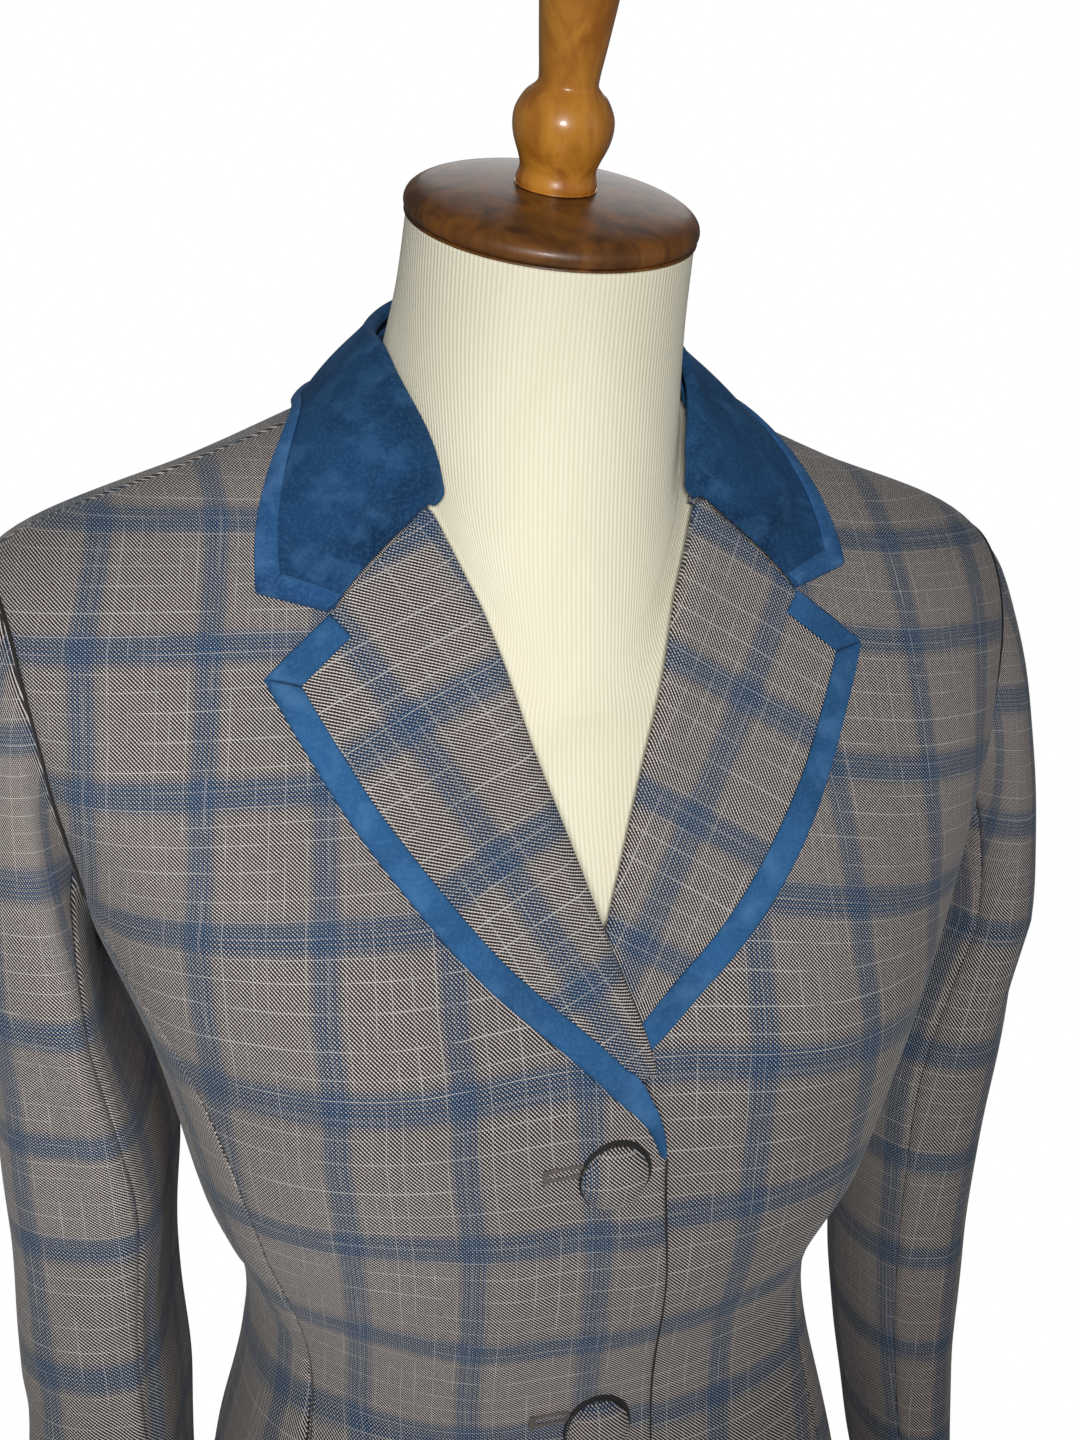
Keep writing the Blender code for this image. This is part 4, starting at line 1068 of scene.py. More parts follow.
    def side_panel(self, side: Side) -> bpy.types.Object:
        """Builds the panel under the arm."""
        front, back, meets_front, meets_back = self.seam_tracks()
        turn = lerp(meets_front, meets_back + FULL_TURN, crowded(self.columns[1], 0.7))
        angle, top = self.form.armhole(turn)
        share = (angle - np.interp(top, *front)) / (np.interp(top, *back) - np.interp(top, *front))
        up = np.linspace(0, 1, self.low_rows)[:, None]
        level = up * (top - self.side_below)[None, :]
        start, end = np.interp(level, *front), np.interp(level, *back)
        inset = self.seam_air / 2 / self.side_wide
        angle = lerp(start, end, lerp(inset, 1 - inset, share[None, :]))
        points = self.form.hang(self.form.point(angle, level), side)
        run = arc_of(points, 1)
        sunk = sunk_sides(run, self.seam_deep, self.seam_wide)
        outward = grid_normals(points)
        points = (creased(points, self.side_folds, self.unevenness, 3.0 + side.value, outward)
                  - outward * sunk[..., None])
        lay = self.lay.outward(side, run - run[:, -1:] / 2, self.lay.level(side, points[..., 0], points[..., 2]))
        return add_cloth(f"side_{side.word}", points, lay, side, self.wall, self.cloth, "wool",
                         (f"side_{side.word}",), Hold.HUNG)

    def build(self) -> None:
        """Builds all six panels."""
        front, back, meets_front, meets_back = self.seam_tracks()
        edge = self.form.edge_track()
        for side in Side:
            level, outer = self.outer_rows(front, meets_front)
            folds = self.right_folds if side is Side.RIGHT else self.left_folds
            self.panel(f"front_{side.word}", side, level, np.interp(level, *edge), outer, self.columns[0], folds, True)
            level, outer = self.outer_rows(back, meets_back)
            self.panel(f"back_{side.word}", side, level, outer, np.full_like(outer, np.pi / 2), self.columns[2],
                       self.back_folds, False)
            self.side_panel(side)


# ---------------------------------------------------------------- sleeves


@dataclass
class Sleeves:
    """The two-piece sleeves, hung from the armholes and just clear of the body."""

    form: CoatForm
    lay: PlaidLay
    cloth: bpy.types.Material
    rings: tuple = (
        # z     mid_x  mid_y   half_x half_y turn in degrees
        (0.585, 0.1920, -0.013, 0.0240, 0.057, 13),
        (0.520, 0.1810, -0.009, 0.0320, 0.056, 13),
        (0.455, 0.1785, -0.007, 0.0340, 0.053, 13),
        (0.385, 0.1785, -0.010, 0.0345, 0.050, 12),
        (0.305, 0.1865, -0.018, 0.0325, 0.047, 13),
        (0.228, 0.1985, -0.027, 0.0295, 0.044, 13),
        (0.150, 0.2110, -0.036, 0.0280, 0.041, 13),
    )
    left_swing: tuple = (0.015, 0.002)
    # the right sleeve's own middle, half width and share of its own section, ring by ring
    right_rings: tuple = ((0.1913, 0.0243, 1.0), (0.1812, 0.0321, 1.0), (0.1811, 0.0306, 1.0), (0.1796, 0.0312, 1.0),
                          (0.1835, 0.0315, 0.9), (0.1960, 0.0290, 0.7), (0.2090, 0.0280, 0.5))
    # that section at every 45 degrees, as shares of the half sizes: its back leans in to the body
    right_section: tuple = ((1.016, 0.125), (0.906, -0.679), (-0.03, -1.02), (-0.547, -0.804), (-0.9375, 0.036),
                            (-1.1875, 0.839), (-0.50, 1.232), (0.594, 0.964))
    # the left sleeve: how far out its inner side sits, and its outer side in, from ring to ring
    left_slim: tuple = ((0.0, 0.0), (0.0, 0.001), (0.004, 0.004), (0.007, 0.008), (0.009, 0.012), (0.009, 0.013),
                        (0.009, 0.013))
    seams: tuple = (118, -112)
    seam_inset: float = 0.004
    head_out: tuple = (0.012, 0.030)
    head_down: tuple = (0.006, 1.15)
    head_under: float = 0.0018      # how far the head starts under the armhole's edge, and in from it
    head_in: float = 0.0009
    wall: float = 0.0016
    seam_deep: float = 0.0008
    seam_wide: float = 0.0018
    head_rows: int = 30
    arm_rows: int = 130
    columns: tuple = (76, 48)
    unevenness: float = 0.0008
    folds_right: tuple = (
        Crease((0.2050, -0.058, 0.375), (0.2140, -0.020, 0.312), 0.0030, 0.012),
        Crease((0.2080, -0.050, 0.440), (0.2110, -0.010, 0.400), 0.0020, 0.011),
        Crease((0.1750, -0.062, 0.470), (0.1900, -0.066, 0.330), 0.0022, 0.009),
        Crease((0.1640, -0.050, 0.500), (0.1660, -0.056, 0.360), 0.0020, 0.008),
        Crease((0.2030, -0.060, 0.600), (0.1920, -0.066, 0.520), 0.0016, 0.012),
        Crease((0.2150, -0.030, 0.250), (0.2250, -0.060, 0.200), 0.0016, 0.012),
        Crease((0.2130, -0.030, 0.660), (0.2110, -0.045, 0.600), 0.0010, 0.010),
    )
    folds_left: tuple = (
        Crease((0.2180, -0.055, 0.410), (0.2170, -0.010, 0.360), 0.0026, 0.012),
        Crease((0.1900, -0.064, 0.480), (0.2050, -0.066, 0.350), 0.0022, 0.010),
        Crease((0.2250, -0.045, 0.590), (0.2080, -0.066, 0.520), 0.0018, 0.012),
        Crease((0.1750, -0.055, 0.520), (0.1760, -0.058, 0.380), 0.0018, 0.009),
        Crease((0.2180, -0.030, 0.250), (0.2260, -0.060, 0.200), 0.0016, 0.012),
    )

    def ring(self, turn: Array, place: Array, side: Side) -> Array:
        """Points of the sleeve's rings at turns: 0 outside, 90 degrees in front."""
        z, mid_x, mid_y, half_x, half_y, twist = np.moveaxis(spline(self.rings, place), -1, 0)
        own = 0.0
        if side is Side.RIGHT:
            mid_x, half_x, own = np.moveaxis(spline(self.right_rings, place), -1, 0)
        else:
            inner, outer = np.moveaxis(spline(self.left_slim, place), -1, 0)
            mid_x, half_x = mid_x + (inner - outer) / 2, half_x - (inner + outer) / 2
        corners = np.array(self.right_section)
        around = spline(np.concatenate((corners[-2:], corners, corners[:3])), np.degrees(turn) % 360 / 45 + 2)
        x, y = half_x * lerp(np.cos(turn), around[..., 0], own), half_y * lerp(-np.sin(turn), around[..., 1], own)
        twist = np.radians(twist * (1 - own))
        return np.stack((mid_x + x * np.cos(twist) + y * np.sin(twist), mid_y - x * np.sin(twist) + y * np.cos(twist),
                         np.broadcast_to(z, x.shape)), -1)

    def points(self, turn: Array, v: Array, side: Side) -> Array:
        """Points of a sleeve's outer face.

        Args:
            turn: radians, one for each column.
            v: one for each row: 0 to 1 is the head, and each whole number more is a ring.
            side: the wearer's side.

        Returns:
            Rows by columns of points, for the wearer's left.
        """
        swing = self.left_swing if side is Side.LEFT else (0.0, 0.0)
        angle, level = self.form.armhole(turn)
        seam = self.form.hang(self.form.point(angle, level, -self.head_under), side)
        middle = np.stack((seam[:, 0], *(np.full_like(turn, m) for m in self.form.armhole_mid)), -1)
        start = seam + unit(middle - seam) * self.head_in
        end = self.ring(turn, np.zeros_like(turn), side) + (swing[0], 0, 0)
        reach = np.linalg.norm(end - start, axis=-1)
        zero = np.zeros_like(turn)
        out = np.stack((self.head_out[0] + (self.head_out[1] + swing[0]) * np.cos(turn / 2) ** 2, zero, zero), -1)
        down = np.stack((zero - self.head_down[0], zero, -self.head_down[1] * reach), -1)
        head = hermite(start, out, end, down, v[v < 1][:, None, None])
        below = v[v >= 1][:, None]
        arm = self.ring(*np.broadcast_arrays(turn[None, :], below - 1), side)
        arm[..., 0] += lerp(*swing, (below - 1) / (len(self.rings) - 1))
        return np.concatenate((head, arm))

    def piece(self, kind: str, side: Side, turn: Array, anchor: int, folds: Sequence[Crease]) -> bpy.types.Object:
        """Builds the top or the under piece.

        Args:
            kind: top or under.
            side: the wearer's side.
            turn: radians of its columns.
            anchor: the column on the grain line.
            folds: its creases.

        Returns:
            The piece.
        """
        v = np.concatenate((np.linspace(0, 1, self.head_rows) ** 1.3,
                            np.linspace(1, len(self.rings), self.arm_rows)[1:]))
        v[self.head_rows - 1] = 1.0
        points = self.points(turn, v, side)
        run = arc_of(points, 1)
        sunk = sunk_sides(run, self.seam_deep, self.seam_wide)
        outward = grid_normals(points)
        fade = smooth(0.0, 0.25, v)[:, None, None]
        folded = creased(points, folds, self.unevenness, 5.0 * side.value + len(turn), outward)
        points = lerp(points, folded, fade) - outward * sunk[..., None]
        lay = self.lay.outward(side, run[:, anchor:anchor + 1] - run, self.lay.sleeve_level(side, points[..., 2]))
        name = f"sleeve_{kind}_{side.word}"
        return add_cloth(name, points, lay, side, self.wall, self.cloth, "wool", (name,), Hold.HUNG)

    def build(self) -> None:
        """Builds both sleeves."""
        front, back = (math.radians(a) for a in self.seams)
        for side in Side:
            folds = self.folds_right if side is Side.RIGHT else self.folds_left
            top = lerp(back + self.seam_inset, front - self.seam_inset, crowded(self.columns[0], 0.7))
            self.piece("top", side, top, int(np.argmin(np.abs(top))), folds)
            under = lerp(front + self.seam_inset, back + FULL_TURN - self.seam_inset, crowded(self.columns[1], 0.7))
            self.piece("under", side, under, self.columns[1] // 2, folds)


# ---------------------------------------------------------------- lapels, collar and bindings


@dataclass
class Ribbon:
    """A velvet strip that lies along an edge and wraps round it."""

    velvet: bpy.types.Material
    wall: float = 0.0004
    tuck: float = 0.0010    # how far its two ends dip into the cloth
    # across: share from the inner side to the edge, then how far past the edge and above the cloth
    section: tuple = ((0.0, 0.0, -0.0001), (0.004, 0.0, 0.0006), (0.03, 0.0, 0.0010), (0.12, 0.0, 0.0013),
                      (0.30, 0.0, 0.00145), (0.55, 0.0, 0.0015), (0.78, 0.0, 0.0014), (0.92, 0.0, 0.0012),
                      (0.98, 0.0001, 0.0009), (1.0, 0.0005, 0.0003), (1.0, 0.0009, -0.0005), (1.0, 0.0010, -0.0013),
                      (1.0, 0.0007, -0.0021), (1.0, 0.0001, -0.0027))

    def lay_on(self, name: str, inner: Array, outer: Array, outward: Array, side: Side, nodes: Sequence[str],
               rests_on: str) -> bpy.types.Object:
        """Builds a strip between two lines of points on the cloth.

        Args:
            name: the piece's name.
            inner: points of its inner side.
            outer: points of the edge it wraps.
            outward: outward normals along it.
            side: the wearer's side.
            nodes: the solids it stands for.
            rests_on: the piece whose edge it binds; not used.

        Returns:
            The strip.
        """
        share, past, lift = np.array(self.section).T
        way = unit(outer - inner)
        points = (lerp(inner[:, None], outer[:, None], share[None, :, None]) + way[:, None] * past[None, :, None]
                  + outward[:, None] * lift[None, :, None])
        ends = np.minimum(np.arange(len(points)), np.arange(len(points))[::-1])
        tuck = self.tuck * np.exp(-(ends / 0.8) ** 2)
        points -= outward[:, None] * tuck[:, None, None]
        return add_cloth(name, points, own_lay(points), side, self.wall, self.velvet, "binding", nodes,
                         Hold.FOLDED)


@dataclass
class Lapels:
    """The turned-back fronts, cut on their own grain, with velvet along their edges."""

    form: CoatForm
    lay: PlaidLay
    cloth: bpy.types.Material
    ribbon: Ribbon
    edge: tuple = ((-0.018, 0.5359), (-0.0045, 0.556), (0.011, 0.5718), (0.030, 0.5896), (0.049, 0.6085),
                   (0.0665, 0.630), (0.0885, 0.6615), (0.1065, 0.694), (0.116, 0.7135))
    gorge: tuple = ((0.052, 0.768), (0.068, 0.7553), (0.082, 0.7430), (0.0895, 0.7345), (0.116, 0.7135))
    start: float = 0.20
    roll_shape: tuple = ((0.0008, 0.0002), (-0.0010, 0.0014), (-0.0012, 0.0026), (0.0002, 0.0042), (0.0040, 0.0056))
    edge_lift: float = 0.0037
    roll_lift: float = 0.0058
    wall: float = 0.0016
    band_wide: float = 0.0095
    # the strip's foot on the right front, as x and z: its side by the free edge, and its other side
    foot: tuple = (((-0.0192, 0.5345), (-0.0181, 0.5440), (-0.0152, 0.5535), (-0.0117, 0.5605), (-0.0088, 0.5660),
                    (-0.0045, 0.5715)),
                   ((-0.0187, 0.5342), (-0.0158, 0.5410), (-0.0126, 0.5469), (-0.0075, 0.5534), (-0.0025, 0.5583),
                    (0.0047, 0.5653)))
    roll_columns: int = 16
    columns: int = 44
    rows: int = 120
    grain_right: tuple = ((0.0862, 0.7234), (0.068, 0.698), (0.040, 0.6544), (0.0126, 0.6037))
    grain_left: tuple = ((0.0807, 0.7248), (0.0603, 0.7007), (0.0403, 0.6576), (0.0178, 0.618))
    # a cross line's point, its normal and the distance to the next one
    cross_right: tuple = (0.068, 0.698, 0.461, 0.888, 0.0545)
    cross_left: tuple = (0.0603, 0.7007, 0.506, 0.862, 0.0495)
    grain_lean: float = 0.855       # cloth across the grain for each metre of x
    # the heights that the roll line spans, and the lapel's width at three of them
    roll_span: tuple = (0.536, 0.768)
    widths: tuple = ((0.536, 0.60, 0.66), (0.002, 0.040, 0.090))
    unevenness: float = 0.0005
    folds: tuple = (Crease((0.060, -0.070, 0.735), (0.030, -0.095, 0.650), 0.0008, 0.012),
                    Crease((0.095, -0.085, 0.690), (0.060, -0.100, 0.640), 0.0007, 0.012))

    def path(self, rows: Sequence, share: Array) -> Array:
        """Points of a smooth path at shares of its rows."""
        return spline(rows, share * (len(rows) - 1))

    def lift(self, off: Array, width: Array) -> Array:
        """Height of the lapel's face above the front, at a distance from its roll."""
        full = lerp(self.roll_lift, self.edge_lift, smooth(0.006, 0.045, off))
        return lerp(self.edge_lift, full, smooth(0.004, 0.030, width))

    def bow(self, across: Array, v: Array) -> Array:
        """How far the rows bow up from straight, to follow the gorge seam at the top."""
        first, tip = self.gorge[0], self.gorge[-1]
        x = lerp(first[0], tip[0], across)
        rise = np.interp(x, [p[0] for p in self.gorge], [p[1] for p in self.gorge]) - lerp(first[1], tip[1], across)
        return rise * v ** 3

    def face(self, side: Side) -> Array:
        """Points of a lapel's outer face, for the wearer's left."""
        v = np.linspace(0, 1, self.rows)[:, None]
        share = (self.start + (1 - self.start) * v)[:, 0]
        inner, outer = self.path(self.form.roll_line, share), self.path(self.edge, share)
        width = np.hypot(*(outer - inner).T)[:, None]
        steps = np.linspace(0, len(self.roll_shape) - 1, self.roll_columns)
        off, lift = spline(self.roll_shape, steps).T
        shrink = smooth(0.002, 0.030, width)
        off = lerp(0.00015 * steps, off, shrink)
        lift = lerp(self.edge_lift, lift, shrink)
        x_roll = inner[:, :1] + off
        z_roll = inner[:, 1:] + self.bow(off / 0.064, v) - 0.0002
        near = np.minimum(0.006 / width, 0.3)
        across = lerp(near, 1 - 0.0008 / width, np.linspace(0, 1, self.columns)[None, 1:] ** 1.1)
        x_flat = lerp(inner[:, :1], outer[:, :1], across)
        z_flat = lerp(inner[:, 1:], outer[:, 1:], across) + self.bow(across, v)
        x, z = np.concatenate((x_roll, x_flat), 1), np.concatenate((z_roll, z_flat), 1)
        return self.form.front_point(x, z, np.concatenate((lift, self.lift(across * width, width)), 1), side)

    def grain(self, side: Side, points: Array) -> Array:
        """Places on the cut cloth, along the lapel's own slanting grain."""
        x, z = points[..., 0], points[..., 2]
        line = np.array(self.grain_right if side is Side.RIGHT else self.grain_left)[::-1]
        slope = (line[1] - line[0]) / (line[1, 1] - line[0, 1])
        low = line[0] + slope * (0.52 - line[0, 1])
        line = np.concatenate((low[None], line, (line[-1] + slope * 0.05)[None]))
        fit = np.polyfit(line[:, 1], line[:, 0], 2)
        x0, z0, across, up, gap = self.cross_right if side is Side.RIGHT else self.cross_left
        u = (x - np.polyval(fit, z)) * self.grain_lean
        v = ((x - x0) * across + (z - z0) * up) / gap * self.lay.upward
        return self.lay.outward(side, u, v)

    def inset(self, path: Array, wide: float) -> Array:
        """A path's points moved to its left by a width."""
        way = np.gradient(path, axis=0)
        way /= np.hypot(*way.T)[:, None]
        return path + np.stack((-way[:, 1], way[:, 0]), -1) * wide

    def binding_lines(self, side: Side) -> list[tuple[Array, Array]]:
        """The inner and outer lines, as x and z, of the long strip and of the short one at the gorge."""
        first = 0.0 if side is Side.RIGHT else 0.27
        outer = self.path(self.edge, np.linspace(first, 1.0, 160))
        tip, notch = np.array(self.gorge[-1]), np.array(self.gorge[-2])
        top = lerp(tip, notch, np.linspace(0, 0.985, 24)[:, None])
        inner, top_inner = self.inset(outer, self.band_wide), self.inset(top, self.band_wide)
        down, across = unit(outer[-2] - outer[-1]), unit(top[-1] - top[0])
        corner = self.band_wide / np.sqrt(1 - (down @ across) ** 2)
        mitre = outer[-1] + (down + across) * corner
        inner = np.concatenate((inner[(inner - mitre) @ -down < -0.0004], mitre[None]))
        if side is Side.RIGHT:
            inner_foot, outer_foot = (spline(foot, np.linspace(0, len(foot) - 1, 30)) for foot in self.foot)
            inner = np.concatenate((inner_foot, inner[inner[:, 1] > inner_foot[-1, 1]]))
            outer = np.concatenate((outer_foot, outer[outer[:, 1] > outer_foot[-1, 1]]))
        top_inner = np.concatenate((mitre[None], top_inner[(top_inner - mitre) @ across > 0.0004]))
        share = np.linspace(0, 1, 150)
        return [(along(inner, share), along(outer, share)), (along(top_inner, share[::6]), along(top, share[::6]))]

    def strip(self, side: Side, name: str, inner: Array, outer: Array, nodes: Sequence[str]) -> bpy.types.Object:
        """Binds one edge between two lines given as x and z."""
        def on_lapel(line: Array) -> Array:
            """Points of a line on the lapel's face."""
            z_roll = np.clip(line[:, 1], *self.roll_span)
            roll = np.array(self.form.roll_line)
            off = np.maximum(line[:, 0] - np.interp(z_roll, roll[:, 1], roll[:, 0]), 0.0)
            width = np.interp(z_roll, *self.widths)
            return self.form.front_point(line[:, 0], line[:, 1], self.lift(off, width), side)
        low, high = on_lapel(inner), on_lapel(outer)
        outward = unit(np.cross(unit(high - low), np.gradient(high, axis=0)))
        return self.ribbon.lay_on(name, low, high, outward, side, nodes, f"lapel_{side.word}")

    def build(self) -> None:
        """Builds both lapels and their bindings."""
        for side in Side:
            points = self.face(side)
            points = creased(points, self.folds, self.unevenness, 9.0 + side.value, grid_normals(points))
            name = f"lapel_{side.word}"
            add_cloth(name, points, self.grain(side, points), side, self.wall, self.cloth, "wool", (name,),
                      Hold.FOLDED)
            long, short = self.binding_lines(side)
            self.strip(side, f"lapel_binding_{side.word}", *long, (f"lapel_binding_{side.word}",))
            self.strip(side, f"lapel_binding_top_{side.word}", *short, ())


@dataclass
class Collar:
    """The velvet collar: its fall, its stand, and the lighter band along the fall's edge."""

    form: CoatForm
    velvet: bpy.types.Material
    ribbon: Ribbon
    # foot and edge in degrees, the edge's level and the stand's height, from the middle of the back
    stations: tuple = ((90.0, 90.0, 9.40, 0.0225), (66.0, 64.0, 9.42, 0.0225), (42.0, 40.0, 9.49, 0.0220),
                       (18.0, 18.0, 9.57, 0.0205), (-4.0, -4.0, 9.55, 0.0180), (-22.0, -20.0, 9.28, 0.0125),
                       (-36.3, -36.0, 8.80, 0.0015))
    gorge: tuple = ((0.052, 0.768), (0.068, 0.7553), (0.082, 0.7430), (0.0895, 0.7345))
    tip: tuple = (0.115, 0.7415)
    notch_share: float = 0.64
    band_from: float = 0.865
    end_piece: tuple = ((0.50, 0.999), (0.865, 0.892))      # its inner side, from the gorge to the band
    fold_radius: float = 0.0010
    edge_lift: float = 0.0037
    lean: float = 0.28
    hollow: float = 0.0012
    neck_behind: float = 0.012
    curl: tuple = ((-0.0048, -0.0046), (-0.0036, -0.0010))
    under_roll: float = 0.0068
    stand_end: float = 0.80
    wall: float = 0.0020
    stand_wall: float = 0.0012
    rows: int = 181
    columns: int = 44

    def row(self, w: Array) -> Array:
        """The collar's measures at w: 0 in the middle of the back, 1 at its front end."""
        half = np.array(self.stations)
        other = half[:0:-1] * (-1, -1, 1, 1) + (180, 180, 0, 0)
        return spline(np.concatenate((other, half)), (len(half) - 1) * (1 + w))

    def frame(self, row: Array) -> tuple[Array, Array, Array]:
        """The neckline under a row, the way up its stand, and the way out from the neck."""
        neckline = self.form.point(np.radians(row[..., 0]), self.form.neck)
        out = unit(neckline * (1, 1, 0) + (0, self.neck_behind, 0))
        return neckline, unit(np.array((0, 0, 1.0)) - out * self.lean), out

    def front_end(self, t: Array) -> Array:
        """x and z of the fall's front end: down the gorge to the notch, then to the tip."""
        down = spline(self.gorge, np.clip(t / self.notch_share, 0, 1) * (len(self.gorge) - 1))
        share = np.clip((t - self.notch_share) / (1 - self.notch_share), 0, 1)[..., None]
        return lerp(down + (0.0003, 0.0004), np.array(self.tip), share)

    def fall(self, t: Any, w: Any) -> Array:
        """Outer face of the fall: t from the roll, 0, to its edge, 1."""
        t, w = np.broadcast_arrays(np.asarray(t, float), np.asarray(w, float))
        row = self.row(w)
        _, up, out = self.frame(row)
        angle, level = np.radians(lerp(row[..., 0], row[..., 1], t)), lerp(self.form.neck, row[..., 2], t)
        end = self.front_end(t)
        end_angle, end_level = self.form.front_place(end[..., 0], end[..., 1])
        share = smooth(0.55, 1.0, w) ** 2
        angle, level = lerp(angle, end_angle, share), lerp(level, end_level, share)
        way = unit(lerp(up, self.form.normal(angle, level), np.maximum(smooth(0, 1, t), share)[..., None]))
        stand = row[..., 3] * (1 - t) ** 1.2
        return (self.form.point(angle, level, self.edge_lift) + way * stand[..., None]
                + out * (self.fold_radius * (1 - t) ** 2)[..., None])

    def rolled(self, w: Array) -> Array:
        """Rows of the fall from the inner side of its roll out to its edge."""
        _, up, out = self.frame(self.row(w))
        near = smooth(0.75, 1.0, w)[:, None]
        reach = lerp(1.0, 2.1, smooth(0.73, 0.86, w)) * lerp(1.0, 0.42, smooth(0.90, 0.99, w))
        top = self.fall(0.0, w)
        curl = [top + out * offset * reach[:, None] + up * rise * lerp(1.0, 0.1, near)
                for offset, rise in self.curl]
        coarse = np.stack(curl + [self.fall(t, w) for t in (0.0, 0.12, 0.28)])
        roll = np.moveaxis(spline(coarse.reshape(len(coarse), -1), np.linspace(0, 3, 14)).reshape(14, -1, 3), 0, 1)
        t = np.linspace(0.12, 1.0, self.columns - 13)[1:]
        return np.concatenate((roll, self.fall(t[None, :], w[:, None])), 1)

    def both_halves(self, half: Callable[[Array], Array], w: Array) -> Array:
        """Rows for w from 1 to -1, the second half mirrored in x."""
        points = half(np.abs(w))
        points[w < 0] *= MIRROR
        return points

    def build(self) -> None:
        """Builds the fall, the stand and the band."""
        w = np.sign(np.linspace(1, -1, self.rows)) * np.abs(np.linspace(1, -1, self.rows)) ** 0.8
        points = self.both_halves(self.rolled, w)
        outward = grid_normals(points)
        points = points + outward * undulation(points, 0.0006, 2.0)[..., None]
        add_cloth("collar", points, own_lay(points), Side.LEFT, self.wall, self.velvet, "velvet", ("collar",),
                  Hold.FOLDED)

        def stand(part: Array) -> Array:
            """Rows of the stand's neck side."""
            row = self.row(part)
            neckline, up, out = self.frame(row)
            high = np.maximum(row[:, 3] - self.under_roll, 0.003)
            share = np.linspace(0, 1, 8)
            return (neckline[:, None] + up[:, None] * (0.0009 + share[None, :] * high[:, None])[..., None]
                    - out[:, None] * (self.hollow * share)[None, :, None])
        points = self.both_halves(stand, w * self.stand_end)
        add_cloth("collar_stand", points, own_lay(points), Side.LEFT, self.stand_wall, self.velvet, "velvet",
                  ("collar_stand",), Hold.HUNG)
        self.add_band()

    def add_band(self) -> None:
        """The lighter band: one long strip along the edge, and a short one down each front end."""
        w = np.linspace(1, -1, 240)

        def inner(part: Array) -> Array:
            """Points of the band's inner side."""
            return self.fall(self.band_from, part)

        def outer(part: Array) -> Array:
            """Points of the fall's edge."""
            return self.fall(0.997, part)
        low, high = self.both_halves(inner, w * 0.955), self.both_halves(outer, w * 0.999)
        outward = unit(np.cross(high - low, np.gradient(high, axis=0)))
        self.ribbon.lay_on("collar_band", low, high, outward, Side.LEFT, ("collar_band",), "collar")
        for side in Side:
            t = np.linspace(1.0, 0.0, 40)
            high = self.fall(lerp(self.notch_share + 0.02, 0.997, t), 0.999)
            (seam, band), t = self.fall(*np.array(self.end_piece).T), t[:, None]
            outward = unit(np.cross(lerp(seam, band, t) - high, -np.gradient(high, axis=0)))
            low = lerp(seam, band, t) - outward * 0.0008 * np.sin(np.pi * t)
            self.ribbon.lay_on(f"collar_band_end_{side.word}", low[::-1], high[::-1], -outward[::-1], side, (),
                               "collar")


# ---------------------------------------------------------------- buttons, buttonholes and stitches


